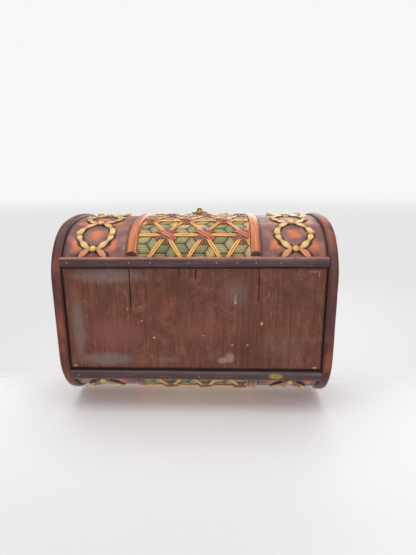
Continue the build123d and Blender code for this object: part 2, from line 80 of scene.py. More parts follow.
def circle_meeting(first, first_radius, second, second_radius):
    """Upper crossing of two circles in the YZ plane, on the side away from the middle."""
    dy, dz = second[0] - first[0], second[1] - first[1]
    span = hypot(dy, dz)
    along = (first_radius**2 - second_radius**2 + span**2) / (2.0 * span)
    off = sqrt(first_radius**2 - along**2)
    foot = (first[0] + along * dy / span, first[1] + along * dz / span)
    return (foot[0] - off * dz / span, foot[1] + off * dy / span)


def direction(start, end):
    return atan2(end[1] - start[1], end[0] - start[0])


corner_centre = (base_flat_half, base_corner_radius)
side_reach = sqrt((side_radius - base_corner_radius) ** 2 - (side_bulge_height - base_corner_radius) ** 2)
side_centre = (base_flat_half - side_reach, side_bulge_height)
dome_centre = (0.0, chest_height - dome_radius)
shoulder_centre = circle_meeting(
    side_centre, side_radius - shoulder_radius, dome_centre, dome_radius - shoulder_radius
)
corner_end = direction(side_centre, corner_centre)
side_end = direction(side_centre, shoulder_centre)
shoulder_end = direction(dome_centre, shoulder_centre)
outline_arcs = [
    (corner_centre, base_corner_radius - hoop_proud, -pi / 2.0, corner_end),
    (side_centre, side_radius - hoop_proud, corner_end, side_end),
    (shoulder_centre, shoulder_radius - hoop_proud, side_end, shoulder_end),
    (dome_centre, dome_radius - hoop_proud, shoulder_end, pi / 2.0),
]
total_s = 2.0 * (base_flat_half + sum(radius * (end - start) for _, radius, start, end in outline_arcs))


def station(s):
    """Point (y, z) of the skin and its outward direction; s runs up the front and down the back."""
    s = s % total_s
    side = -1.0 if s <= total_s / 2.0 else 1.0
    along = s if side < 0.0 else total_s - s
    if along <= base_flat_half:
        return (side * along, hoop_proud), (0.0, -1.0)
    rest = along - base_flat_half
    for centre, radius, start, end in outline_arcs:
        length = radius * (end - start)
        if rest <= length or centre is dome_centre:
            angle = start + rest / radius
            place = (side * (centre[0] + radius * cos(angle)), centre[1] + radius * sin(angle))
            return place, (side * cos(angle), sin(angle))
        rest -= length


def on_barrel(x, s, lift):
    """Point in metres of a place on the unrolled skin."""
    (y, z), (out_y, out_z) = station(s)
    return Vector((x, y + lift * out_y, z + lift * out_z)) * mm


def station_at_height(height, lift=0.0):
    """Arc length on the front at which a line at this lift reaches a height."""
    low, high = base_flat_half, total_s / 2.0
    for _ in range(40):
        middle = (low + high) / 2.0
        if on_barrel(0.0, middle, lift)[2] < height * mm:
            low = middle
        else:
            high = middle
    return low


def smooth(low, high, value):
    t = min(max((value - low) / (high - low), 0.0), 1.0)
    return t * t * (3.0 - 2.0 * t)


def mixed(first, second, share):
    return tuple(a + (b - a) * share for a, b in zip(first, second))


def steps(low, high, count):
    """Evenly spaced values from low to high."""
    return [low + (high - low) * index / count for index in range(count + 1)]


def wave(x, y, z, scale=1.0):
    """Smooth noise about 0, the same each time for the same place."""
    return noise.noise(Vector((x, y, z)) * scale)


def srgb(red, green, blue):
    """Linear colour of a screen colour."""
    return tuple(
        value / 255.0 / 12.92 if value < 11 else ((value / 255.0 + 0.055) / 1.055) ** 2.4
        for value in (red, green, blue)
    )


# Places that several pieces share

rail_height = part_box("front_rail")[1][2] / mm
hoop_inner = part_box("body_hoop_right")[0][0] / mm
rib_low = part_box("front_rib_right")[0][0] / mm
rib_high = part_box("front_rib_right")[1][0] / mm
skin_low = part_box("front_leather_right")[0][0] / mm
skin_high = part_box("front_leather_right")[1][0] / mm
panel_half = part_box("front_mat")[1][0] / mm
rail_outer = -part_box("front_rail")[0][1] / mm
rail_rounding = 2.6
rail_play = 0.1
rail_s = station_at_height(rail_height)
rail_tuck = 6.0
seam_s = station_at_height(seam_height)
walls = {
    "front": (rail_s, seam_s - seam_gap / 2.0),
    "back": (total_s - seam_s + seam_gap / 2.0, total_s - rail_s),
    "lid": (seam_s + seam_gap / 2.0, total_s - seam_s - seam_gap / 2.0),
}
body_of_wall = {"front": "body", "back": "body", "lid": "lid"}
sides = {"left": -1.0, "right": 1.0}


def mirrored(wall, s):
    """Arc length measured up the wall: the back wall repeats the front one."""
    return total_s - s if wall == "back" else s


def placed(name, data):
    """New object of the scene that holds this data."""
    made = bpy.data.objects.new(name, data)
    bpy.context.scene.collection.objects.link(made)
    return made


def wall_ends(wall):
    """Both ends of a wall as measured up it."""
    return sorted(mirrored(wall, s) for s in walls[wall])


# Meshes drawn on the unrolled skin

class Skin:
    """Mesh of points (x, s, lift) on the unrolled skin, bent round the barrel at the end."""

    def __init__(self, curved=True):
        self.mesh = bmesh.new()
        self.paint = self.mesh.verts.layers.float_color.new("paint")
        self.grain = self.mesh.verts.layers.float_vector.new("grain")
        self.curved = curved

    def point(self, place, paint=(1.0, 1.0, 1.0), grain=None):
        vertex = self.mesh.verts.new(place)
        vertex[self.paint] = (*paint, 1.0)
        vertex[self.grain] = Vector(grain or place) * mm
        return vertex

    def face(self, corners):
        self.mesh.faces.new(corners).smooth = True

    def tube(self, rings):
        """Closed solid through rings of points, each a (place, paint, grain)."""
        rows = [[self.point(*point) for point in ring] for ring in rings]
        for row, following in zip(rows, rows[1:]):
            for index in range(len(row)):
                self.face((row[index - 1], row[index], following[index], following[index - 1]))
        self.face(rows[0][::-1])
        self.face(rows[-1])

    def pad(self, rows, foot, follow=True):
        """Closed pad: a grid of top points, each a (place, paint, grain), over a foot at one lift."""
        grid = [[self.point(*point) for point in row] for row in rows]
        for row, following in zip(grid, grid[1:]):
            for index in range(len(row) - 1):
                self.face((row[index], row[index + 1], following[index + 1], following[index]))
        rim = grid[0] + [row[-1] for row in grid[1:-1]] + grid[-1][::-1] + [row[0] for row in grid[-2:0:-1]]
        below = {}
        for vertex in [vertex for row in grid for vertex in row] if follow else rim:
            place = (vertex.co.x, vertex.co.y, foot)
            below[vertex] = self.point(place, tuple(vertex[self.paint])[:3], tuple(vertex[self.grain] / mm))
        for index in range(len(rim)):
            self.face((rim[index], rim[index - 1], below[rim[index - 1]], below[rim[index]]))
        if not follow:
            self.face([below[vertex] for vertex in rim])
            return
        for row, following in zip(grid, grid[1:]):
            for index in range(len(row) - 1):
                corners = (row[index], following[index], following[index + 1], row[index + 1])
                self.face([below[corner] for corner in corners])

    def trim(self, low_x, high_x, low_s, high_s):
        """Cuts the mesh off square at the edges of a panel, and closes the cuts."""
        for place, normal in (
            ((low_x, 0, 0), (-1, 0, 0)),
            ((high_x, 0, 0), (1, 0, 0)),
            ((0, low_s, 0), (0, -1, 0)),
            ((0, high_s, 0), (0, 1, 0)),
        ):
            self.cut(place, normal)

    def cut(self, place, normal):
        """Cuts off what lies beyond a plane, and closes the cut."""
        everything = self.mesh.verts[:] + self.mesh.edges[:] + self.mesh.faces[:]
        cut = bmesh.ops.bisect_plane(
            self.mesh, geom=everything, dist=1e-7, plane_co=place, plane_no=normal, clear_outer=True
        )
        edges = [item for item in cut["geom_cut"] if isinstance(item, bmesh.types.BMEdge)]
        bmesh.ops.holes_fill(self.mesh, edges=edges, sides=0)

    def piece(self, name, body, slot, *nodes, finish=None, sharp=50.0, on_rail=""):
        """Bends the mesh, makes its object under its body, gives it the material of its finish or slot, and
        hides the CAD nodes it stands for.
        """
        for vertex in self.mesh.verts:
            vertex.co = on_barrel(*vertex.co) if self.curved else vertex.co * mm
        if on_rail:
            inward = 1.0 if on_rail == "front" else -1.0
            corner = (rail_rounding - rail_play) * (1.0 - sqrt(0.5))
            place = (0.0, inward * (corner - rail_outer) * mm, (rail_height - corner) * mm)
            self.cut(place, (0.0, inward, -1.0))
        bmesh.ops.recalc_face_normals(self.mesh, faces=self.mesh.faces[:])
        for edge in self.mesh.edges:
            if edge.calc_face_angle(0.0) > radians(sharp):
                edge.smooth = False
        data = bpy.data.meshes.new(name)
        self.mesh.to_mesh(data)
        self.mesh.free()
        data.materials.append(materials[finish or slot])
        made = placed(name, data)
        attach(made, body)
        if nodes:
            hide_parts(*nodes)


# Materials

# A spot's edge wanders by this much of its noise, and runs from rim to core
spot_raggedness, spot_rim, spot_core = 1.8, 2.2, 1.3


class Look:
    """Node graph of one material, written as short calls."""

    def __init__(self, name):
        self.material = bpy.data.materials.new(name)
        self.material.use_nodes = True
        self.nodes = self.material.node_tree.nodes
        self.links = self.material.node_tree.links
        self.nodes.clear()
        self.output = self.nodes.new("ShaderNodeOutputMaterial")
        self.shader = self.nodes.new("ShaderNodeBsdfPrincipled")
        self.links.new(self.shader.outputs[0], self.output.inputs[0])

    def feed(self, socket, value):
        if isinstance(value, bpy.types.NodeSocket):
            self.links.new(value, socket)
        elif socket.type == "RGBA":
            socket.default_value = (*value, 1.0)
        else:
            socket.default_value = value

    def set(self, **inputs):
        for name, value in inputs.items():
            self.feed(self.shader.inputs[name.replace("_", " ")], value)

    def attribute(self, name, output="Vector"):
        node = self.nodes.new("ShaderNodeAttribute")
        node.attribute_name = name
        return node.outputs[output]

    def place(self):
        return self.nodes.new("ShaderNodeTexCoord").outputs["Object"]

    def vector_math(self, operation, vector, value=(0.0, 0.0, 0.0)):
        node = self.nodes.new("ShaderNodeVectorMath")
        node.operation = operation
        self.feed(node.inputs[0], vector)
        node.inputs[1].default_value = value
        return node.outputs["Value" if operation == "LENGTH" else "Vector"]

    def scaled(self, vector, scale):
        return self.vector_math("MULTIPLY", vector, scale)

    def split(self, vector):
        node = self.nodes.new("ShaderNodeSeparateXYZ")
        self.feed(node.inputs[0], vector)
        return node.outputs[0], node.outputs[1], node.outputs[2]

    def noise(self, vector, scale, detail=4.0, roughness=0.55, distortion=0.0):
        node = self.nodes.new("ShaderNodeTexNoise")
        self.feed(node.inputs["Vector"], vector)
        node.inputs["Scale"].default_value = scale
        node.inputs["Detail"].default_value = detail
        node.inputs["Roughness"].default_value = roughness
        node.inputs["Distortion"].default_value = distortion
        return node.outputs[0]

    def fibres(self, vector, scales, *shape):
        """Noise drawn out along the axis of the lowest scale."""
        return self.noise(self.scaled(vector, scales), 1.0, *shape)

    def cells(self, vector, scale):
        node = self.nodes.new("ShaderNodeTexVoronoi")
        self.feed(node.inputs["Vector"], vector)
        node.inputs["Scale"].default_value = scale
        return node.outputs["Distance"]

    def math(self, operation, first, second=0.0):
        node = self.nodes.new("ShaderNodeMath")
        node.operation = operation
        self.feed(node.inputs[0], first)
        self.feed(node.inputs[1], second)
        return node.outputs[0]

    def times(self, first, second):
        return self.math("MULTIPLY", first, second)

    def span(self, value, low, high, to_low=0.0, to_high=1.0):
        node = self.nodes.new("ShaderNodeMapRange")
        node.interpolation_type = "SMOOTHSTEP"
        self.feed(node.inputs["Value"], value)
        limits = {"From Min": low, "From Max": high, "To Min": to_low, "To Max": to_high}
        for socket, number in limits.items():
            node.inputs[socket].default_value = number
        return node.outputs[0]

    def mix(self, share, first, second, way="MIX"):
        node = self.nodes.new("ShaderNodeMix")
        node.data_type = "RGBA"
        node.blend_type = way
        self.feed(node.inputs[0], share)
        self.feed(node.inputs[6], first)
        self.feed(node.inputs[7], second)
        return node.outputs[2]

    def over(self, colour, pattern, low, high, share, tone):
        """Lays up to a share of a tone over the colour, where the pattern runs from low to high."""
        return self.mix(self.span(pattern, low, high, 0.0, share), colour, tone)

    def spot(self, place, along, across, half_x, half_y, ragged):
        """Ragged patch on a level face: 1 inside, 0 outside. Sizes in millimetres."""
        away = self.vector_math("SUBTRACT", place, (along * mm, across * mm, 0.0))
        shares = self.scaled(away, (1.0 / (half_x * mm), 1.0 / (half_y * mm), 0.0))
        reach = self.vector_math("LENGTH", shares)
        return self.span(self.math("ADD", reach, self.times(ragged, spot_raggedness)), spot_rim, spot_core)

    def finish(self, colour, pattern, rough, relief, depth, strength, coat=(0.0, 0.03), specular=0.5):
        """Ends the material: its roughness follows a pattern, and its relief is a bump of this depth."""
        self.set(Base_Color=colour, Roughness=self.span(pattern, 0.3, 0.7, *rough))
        self.set(Coat_Weight=coat[0], Coat_Roughness=coat[1], Specular_IOR_Level=specular)
        bump = self.nodes.new("ShaderNodeBump")
        self.feed(bump.inputs["Height"], relief)
        bump.inputs["Distance"].default_value = depth
        bump.inputs["Strength"].default_value = strength
        self.links.new(bump.outputs[0], self.shader.inputs["Normal"])
        return self.material


wine = srgb(92, 58, 62)
copper = srgb(206, 112, 68)
# Near black: painted shade in gaps, recesses and along edges, and the real colour of cracks and dark flecks
amber = srgb(228, 122, 62)
black_and_shade = srgb(18, 12, 12)
leather_brown = srgb(112, 72, 68)
leather_red = srgb(152, 96, 82)
olive = srgb(158, 148, 92)
straw = srgb(212, 178, 116)
moss = srgb(112, 120, 76)
plum = srgb(150, 84, 56)
scarlet = srgb(220, 102, 50)
gold = srgb(250, 184, 76)
orange = srgb(232, 122, 36)
cream = srgb(236, 198, 122)
honey = srgb(196, 150, 82)
bead_yellow = srgb(232, 196, 100)
strand_side_shade = srgb(122, 82, 48)
pith = srgb(128, 108, 84)


def cane_look(name, dark, bright, wear_and_highlight, gloss):
    """Varnished split cane: fibres along it, stain gone thin on the high parts as wear and painted
    highlight, painted shade near the back rail, pith at a cut end.
    """
    look = Look(name)
    grain = look.attribute("grain")
    rub_and_highlight, cut, painted_floor_shade = look.split(look.attribute("paint"))
    fibre = look.fibres(grain, (900.0, 26.0, 500.0), 5.0, 0.6)
    blotch = look.noise(grain, 46.0, 5.0, 0.6)
    # Wear and painted highlight: amber in patches along the cane's crest
    patchy_wear_and_highlight = look.times(rub_and_highlight, look.span(blotch, 0.32, 0.62))
    colour = look.mix(look.span(fibre, 0.3, 0.75), dark, bright)
    colour = look.mix(look.times(patchy_wear_and_highlight, wear_and_highlight), colour, amber)
    colour = look.over(colour, look.noise(grain, 420.0, 3.0), 0.62, 0.74, 0.55, black_and_shade)
    # Painted shade: the back wall's canes darken to wine towards the rear rail, where the floor shades them
    colour = look.mix(look.times(painted_floor_shade, 0.85), colour, wine)
    colour = look.mix(cut, colour, look.mix(look.span(fibre, 0.35, 0.65), black_and_shade, pith))
    return look.finish(colour, blotch, (gloss, gloss + 0.2), fibre, 0.0002, 0.7, (0.1, 0.3), 0.3)


# Marks on the bottom board: place along and across, half sizes, strength
haze_patches = (
    (-72.0, -39.0, 30.0, 6.5, 0.9), (-101.0, 5.0, 6.0, 30.0, 0.9), (-78.0, 36.5, 26.0, 6.5, 0.95),
    (-24.0, 37.0, 12.0, 3.0, 0.5), (35.0, -24.0, 11.0, 13.0, 0.5), (78.0, 22.0, 20.0, 14.0, 0.2),
)
scrapes = (
    (25.0, 37.3, 5.4, 2.8, 0.6), (31.0, 34.6, 4.0, 4.6, 0.7), (35.4, -19.5, 1.3, 4.5, 0.6),
    (101.0, -43.0, 4.5, 0.7, 0.6), (104.5, -41.0, 0.6, 2.6, 0.6),
)
chips = (
    (58.2, 2.5, 1.0, 1.5), (-45.6, -12.0, 0.8, 0.7), (-45.4, 0.7, 0.7, 0.7), (33.0, 22.5, 0.9, 0.7),
    (46.3, 22.5, 0.9, 0.6), (-107.0, 43.0, 1.6, 0.8), (105.0, 43.5, 1.8, 0.9), (-70.0, 30.0, 0.5, 0.5),
    (-35.0, 16.0, 1.4, 1.0), (35.4, -16.0, 1.0, 1.3), (-57.0, -10.0, 0.6, 0.8), (8.0, 14.0, 1.2, 0.4),
)
tints = (
    (-70.0, 12.0, 24.0, 15.0, srgb(146, 88, 78)), (57.0, 30.0, 20.0, 13.0, srgb(84, 54, 42)),
    (-18.0, -31.0, 20.0, 11.0, srgb(88, 54, 34)), (5.0, 8.0, 22.0, 14.0, srgb(134, 80, 66)),
    (88.0, -24.0, 20.0, 14.0, srgb(92, 54, 44)),
)
# Drying cracks of the board: place along the chest, length in from the front edge, depth
cracks = ((-54.0, 40.0, 0.9), (2.1, 10.0, 0.6), (55.0, 31.0, 0.8), (-11.9, 6.0, 0.4))
# Half width of a crack's dark mark in millimetres, and half its length as a share of the crack
crack_mark = 0.62
board_half_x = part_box("bottom_board")[1][0] / mm
board_half_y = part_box("bottom_board")[1][1] / mm


def board_marks(look, place, colour, mottle, pores):
    """Haze, scuffs and chips of the bottom board, and painted shade along its edges, where it sits
    recessed.
    """
    x, y, _ = look.split(place)
    for *patch, tint in tints:
        mask = look.spot(place, *patch, mottle)
        colour = look.mix(look.times(mask, 0.5), colour, tint)
    speckle = look.span(look.noise(place, 1100.0, 2.0, 0.5), 0.55, 0.68)
    for *patch, strength in haze_patches:
        mask = look.spot(place, *patch, mottle)
        colour = look.mix(look.times(mask, strength * 0.8), colour, srgb(126, 104, 100))
        flecks = look.times(look.times(mask, mask), speckle)
        colour = look.mix(look.times(flecks, strength * 0.5), colour, srgb(176, 162, 154))
    for *patch, strength in scrapes:
        mask = look.spot(place, *patch, mottle)
        share = look.times(mask, look.span(pores, 0.3, 0.5, 0.4 * strength, strength))
        colour = look.mix(share, colour, srgb(172, 150, 138))
    for patch in chips:
        colour = look.mix(look.spot(place, *patch, mottle), colour, srgb(222, 166, 112))
    for along, length, _ in cracks:
        patch = (along, 0.5 * length - board_half_y, crack_mark, crack_mark * length)
        colour = look.mix(look.spot(place, *patch, pores), colour, black_and_shade)
    # Painted shade: the board goes black along its ends, back and front edges, where it sits recessed
    # between the hoops and rails
    side_edge_shade = look.span(look.math("ABSOLUTE", x), (board_half_x - 2.2) * mm, board_half_x * mm)
    rear = look.span(y, (board_half_y - 3.2) * mm, (board_half_y - 0.9) * mm)
    front = look.span(y, (1.5 - board_half_y) * mm, (0.3 - board_half_y) * mm)
    return look.mix(look.math("MAXIMUM", side_edge_shade, look.math("MAXIMUM", rear, front)), colour, black_and_shade)


def board_look(name, marked):
    """Stained plywood: fine grain; the bottom has grey haze, scuffs, chips, and painted shade along its
    edges.
    """
    look = Look(name)
    place = look.place()
    grain = look.fibres(place, (300.0, 22.0, 300.0), 6.0, 0.7, 0.9)
    pores = look.fibres(place, (1500.0, 120.0, 1500.0), 3.0, 0.55)
    cloud = look.noise(place, 30.0, 6.0, 0.7)
    mottle = look.noise(place, 95.0, 6.0, 0.74)
    colour = look.mix(look.span(grain, 0.3, 0.72), srgb(86, 44, 32), srgb(144, 84, 60))
    colour = look.over(colour, cloud, 0.36, 0.64, 0.75, srgb(106, 64, 50))
    colour = look.over(colour, mottle, 0.48, 0.68, 0.6, srgb(146, 96, 76))
    colour = look.over(colour, pores, 0.56, 0.76, 0.55, srgb(54, 30, 24))
    strokes = look.fibres(place, (760.0, 55.0, 760.0), 4.0, 0.7, 0.3)
    colour = look.over(colour, strokes, 0.6, 0.72, 0.5, srgb(172, 126, 108))
    colour = look.over(colour, strokes, 0.4, 0.3, 0.5, srgb(58, 30, 26))
    colour = look.over(colour, look.noise(place, 620.0, 3.0), 0.6, 0.72, 0.5, srgb(60, 36, 30))
    if marked:
        colour = board_marks(look, place, colour, mottle, pores)
    relief = look.math("ADD", grain, look.math("ADD", pores, mottle))
    return look.finish(colour, cloud, (0.5, 0.72), relief, 0.0004, 0.8, specular=0.35)


def wood_look():
    """Bare inside of the plywood shells."""
    look = Look("bare_wood")
    place = look.place()
    grain = look.fibres(place, (30.0, 420.0, 420.0), 6.0, 0.6, 0.4)
    rings = look.fibres(place, (8.0, 70.0, 70.0), 3.0, 0.5, 0.8)
    colour = look.mix(look.span(grain, 0.32, 0.7), srgb(176, 132, 88), srgb(214, 176, 128))
    colour = look.over(colour, rings, 0.5, 0.72, 0.5, srgb(150, 104, 66))
    return look.finish(colour, grain, (0.55, 0.72), grain, 0.0003, 0.6)


def leather_look():
    """Dark leather facing with sprayed copper patches, painted shade along its edges and strands, and a
    fine pebbled grain.
    """
    look = Look("leather")
    grain = look.attribute("grain")
    painted = look.attribute("paint", "Color")
    cloud = look.noise(grain, 120.0, 6.0, 0.65)
    pebble = look.cells(grain, 1500.0)
    shade = look.mix(look.span(cloud, 0.28, 0.7), (0.66,) * 3, (1.3,) * 3)
    colour = look.mix(0.85, painted, shade, "MULTIPLY")
    scuff = look.noise(look.scaled(grain, (1.0, 3.0, 1.0)), 330.0, 3.0, 0.6)
    colour = look.over(colour, scuff, 0.62, 0.74, 0.35, srgb(206, 156, 130))
    return look.finish(colour, cloud, (0.36, 0.6), look.math("ADD", pebble, cloud), 0.00022, 0.7)


def fibre_look(name, along, across, contrast, gloss, coat):
    """Painted plant strip: the colour of its paint, with fibres along it."""
    look = Look(name)
    grain = look.attribute("grain")
    painted = look.attribute("paint", "Color")
    fibre = look.fibres(grain, (along, across, across), 4.0, 0.6)
    stain = look.noise(grain, 210.0, 4.0, 0.6)
    shade = look.mix(look.span(fibre, 0.3, 0.7), (1.0 - contrast,) * 3, (1.0 + 0.5 * contrast,) * 3)
    colour = look.mix(1.0, painted, shade, "MULTIPLY")
    colour = look.over(colour, stain, 0.56, 0.74, 0.3, srgb(120, 74, 40))
    return look.finish(colour, stain, (gloss, gloss + 0.18), fibre, 0.00018, 0.8, (coat, 0.2))


def bead_look():
    """Glossy resin drops, mottled from pale yellow to brown amber."""
    look = Look("bead")
    place = look.place()
    cloud = look.noise(place, 330.0, 4.0, 0.6)
    colour = look.mix(look.span(cloud, 0.4, 0.66), bead_yellow, srgb(196, 132, 52))
    rim = look.attribute("paint", "Fac")
    colour = look.mix(rim, srgb(120, 76, 34), colour)
    return look.finish(colour, cloud, (0.12, 0.24), cloud, 0.0003, 0.3, (0.6, 0.06))


def brass_look():
    """Old brass: dull olive brown in the hollows, brighter where it is touched."""
    look = Look("brass")
    place = look.place()
    cloud = look.noise(place, 260.0, 5.0, 0.65)
    brushed = look.fibres(place, (180.0, 1900.0, 1900.0), 3.0, 0.5)
    colour = look.mix(look.span(cloud, 0.38, 0.64), srgb(112, 98, 56), srgb(196, 166, 92))
    look.set(Metallic=look.span(cloud, 0.3, 0.5, 0.7, 1.0))
    return look.finish(colour, brushed, (0.24, 0.46), brushed, 0.00008, 0.5)


rail_stain_x = 71.0


def rail_look():
    """Dark stained rail, red along its outer edges as wear and painted highlight."""
    look = Look("rail_cane")
    place = look.place()
    fibre = look.fibres(place, (24.0, 900.0, 900.0), 5.0, 0.6)
    cloud = look.noise(look.scaled(place, (1.0, 2.0, 2.0)), 60.0, 5.0, 0.65)
    colour = look.mix(look.span(fibre, 0.3, 0.72), srgb(62, 40, 44), srgb(98, 64, 62))
    colour = look.over(colour, cloud, 0.4, 0.7, 0.5, srgb(54, 36, 42))
    # Wear and painted highlight: the outer edges run red
    wear_and_highlight = look.times(look.attribute("paint", "Fac"), look.span(cloud, 0.25, 0.5, 0.35, 1.0))
    colour = look.mix(wear_and_highlight, colour, srgb(192, 116, 92))
    stain = look.spot(place, rail_stain_x, rail_outer - 5.0, 6.4, 2.6, cloud)
    patchy = look.span(look.noise(place, 700.0, 3.0), 0.35, 0.6, 0.3, 0.9)
    colour = look.mix(look.times(stain, patchy), colour, srgb(178, 162, 58))
    return look.finish(colour, cloud, (0.32, 0.48), fibre, 0.0002, 0.7, (0.2, 0.2))


materials = {
    "stained_board": board_look("stained_board", True),
    "stained_end": board_look("stained_end", False),
    "bare_wood": wood_look(),
    "dark_cane": cane_look("dark_cane", srgb(62, 36, 40), srgb(106, 62, 58), 0.5, 0.38),
    "orange_cane": cane_look("orange_cane", srgb(170, 84, 46), srgb(232, 146, 98), 0.6, 0.26),
    "rail": rail_look(),
    "leather": leather_look(),
    "mat_weave": fibre_look("mat_weave", 110.0, 1500.0, 0.35, 0.42, 0.12),
    "lattice_strip": fibre_look("lattice_strip", 90.0, 1700.0, 0.3, 0.28, 0.35),
    "strand": fibre_look("strand", 160.0, 900.0, 0.2, 0.3, 0.4),
    "bead": bead_look(),
    "brass": brass_look(),
}


# Woven mat: broad ribbed strips in three directions, seen as lozenges

lattice_pitch = 33.0
lattice_row_pitch = 27.1
lattice_phase = 9.0
lattice_first_row = 49.4
cell_edge = lattice_pitch / 3.0
cell_rise = lattice_row_pitch / 3.0
cell_gap = 0.36
mat_ribs = 5
mat_foot = 0.05
mat_base_top = 0.3
mat_top = 0.98
mat_dip = 0.42
mat_rib_relief = 0.16
mat_base_step = 4.0
mat_margin = 12.0
mat_rows = range(-20, 40)
# Arc lengths over which the mat's painted highlight fades in towards the lid
mat_painted_highlight_run = (80.0, 112.0)
crossing_shade_run = (5.0, 8.5)


def lattice_nodes(low_s, high_s, reach):
    """Crossings of the open lattice: number of the row, place along the chest, arc length up the wall."""
    first = floor((low_s - lattice_first_row) / lattice_row_pitch)
    last = ceil((high_s - lattice_first_row) / lattice_row_pitch)
    for row in range(first, last + 1):
        phase = lattice_phase + (row % 2 - 1) * lattice_pitch / 2.0
        low, high = (-reach - phase) / lattice_pitch, (reach - phase) / lattice_pitch
        for column in range(floor(low), ceil(high) + 1):
            yield row, phase + column * lattice_pitch, lattice_first_row + row * lattice_row_pitch


def gap_shade(wall, x, s):
    """Darkness of the mat round the crossings of the first row, where its strips end short."""
    if wall == "lid":
        return 0.0
    phase = lattice_phase - lattice_pitch / 2.0
    across = abs((x - phase + lattice_pitch / 2.0) % lattice_pitch - lattice_pitch / 2.0)
    return 1.0 - smooth(*crossing_shade_run, hypot(0.8 * across, mirrored(wall, s) - lattice_first_row))


def mat_cell(skin, wall, centre, along, across, seed):
    """One visible lozenge of a strip: ribbed along, rounded across, dipping under its neighbours."""
    shade = noise.cell(Vector(seed) * 0.7)
    tone = mixed(olive, straw, smooth(0.2, 0.9, shade))
    green = noise.cell(Vector(seed) * 1.3 + Vector((7.0, 3.0, 1.0)))
    tone = mixed(tone, moss, smooth(0.5, 1.0, green) * 0.6)
    tone = tuple((1.12 + 0.3 * noise.cell(Vector(seed) * 2.1)) * value for value in tone)
    steps_along, steps_across = 6, 4 * mat_ribs
    margin_u = cell_gap / hypot(*along)
    margin_v = cell_gap / hypot(*across)
    rows = []
    for v in steps(0.0, 1.0, steps_across):
        ridge = abs(sin(pi * mat_ribs * v))
        row = []
        for u in steps(0.0, 1.0, steps_along):
            at_u = margin_u + u * (1.0 - 2.0 * margin_u)
            at_v = margin_v + v * (1.0 - 2.0 * margin_v)
            x = centre[0] + along[0] * at_u + across[0] * at_v
            s = centre[1] + along[1] * at_u + across[1] * at_v
            crown = min(1.0, 4.2 * min(v, 1.0 - v) + 0.35) * min(1.0, 2.2 * min(u, 1.0 - u) + 0.35)
            lift = mat_top - mat_dip * (1.0 - crown) - mat_rib_relief * (1.0 - ridge)
            # Painted highlight: the upper rows run paler towards straw, for the glancing light there;
            # painted shade round the first row's crossings
            tone_and_painted_light = mixed(tone, straw, 0.55 * smooth(*mat_painted_highlight_run, mirrored(wall, s)))
            tone_and_painted_light = mixed(tone_and_painted_light, black_and_shade, 0.93 * gap_shade(wall, x, s))
            # Painted shade: darker in the grooves between ribs and towards the lozenge's edges, where it
            # dips under its neighbours, and nearly black at the hexagon's centre
            dark = (0.3 + 0.7 * crown) * (0.22 + 0.82 * ridge**0.5)
            dark *= 0.08 + 0.92 * smooth(0.06, 0.2, hypot(at_u, at_v))
            paint = tuple(value * dark for value in tone_and_painted_light)
            grain = (u * cell_edge, v * cell_edge * 0.87, seed[0] + 3.0 * seed[1])
            row.append(((x, s, lift), paint, grain))
        rows.append(row)
    skin.pad(rows, mat_foot, follow=False)


def mat(wall):
    """The mat of one wall: its lozenges over a black sheet, painted shade where the strips pass under them.
    """
    low_s, high_s = walls[wall]
    low, high = wall_ends(wall)
    upward = -1.0 if wall == "back" else 1.0
    skin = Skin()
    # Painted shade: the sheet under the lozenges is black, for the shade in the gaps between them
    base = []
    columns = range(int(2.0 * panel_half / mat_base_step) + 1)
    for j in range(ceil((high_s - low_s) / mat_base_step) + 1):
        s = min(low_s + mat_base_step * j, high_s)
        base.append([((-panel_half + mat_base_step * i, s, mat_base_top), black_and_shade) for i in columns])
    skin.pad(base, 0.0)
    spokes = [
        (cell_edge * cos(radians(a)), cell_rise * sin(radians(a)) / sin(radians(60.0)))
        for a in (60.0, 180.0, 300.0)
    ]
    first_column = floor((-panel_half - lattice_phase) / (1.5 * cell_edge)) - 2
    for i in range(first_column, -first_column + 3):
        for j in mat_rows:
            x = lattice_phase - lattice_pitch / 2.0 + i * 1.5 * cell_edge
            s = lattice_first_row + i * cell_rise + j * 2.0 * cell_rise
            if abs(x) >= panel_half + mat_margin or not low - mat_margin < s < high + mat_margin:
                continue
            for turn in range(3):
                along, across = spokes[turn], spokes[(turn + 1) % 3]
                edges = (along[0], upward * along[1]), (across[0], upward * across[1])
                mat_cell(skin, wall, (x, mirrored(wall, s)), *edges, (float(i), float(j), float(turn)))
    skin.trim(-panel_half, panel_half, low_s, high_s)
    skin.piece(f"{wall}_woven_mat", body_of_wall[wall], "mat_weave", f"{wall}_mat")


# Open lattice of double strips

mat_thickness = 1.0
strip_lift = 0.24
strip_width = 3.4
strip_thickness = 0.6
strip_climb = 0.22
crossing_half = 4.4
crossing_ramp = 6.0
strip_step = 1.5
strip_edge_play = 0.6
shortest_strip = 8.5
# The two canes of a strip draw together and narrow near a crossing
strip_cane_share = 0.47
strip_cane_offset = 0.265
strip_pinch = 0.18
pinch_run = (6.0, 11.0)
strip_wander = 0.22
strand_sections = (
    (-0.5, 0.0), (-0.5, 0.35), (-0.25, 0.85), (0.0, 1.0), (0.25, 0.85), (0.5, 0.35), (0.5, 0.0),
)


def beside(start, forward, t, off):
    """Place on the skin t along a line and off to its left."""
    return start[0] + forward[0] * t - forward[1] * off, start[1] + forward[1] * t + forward[0] * off


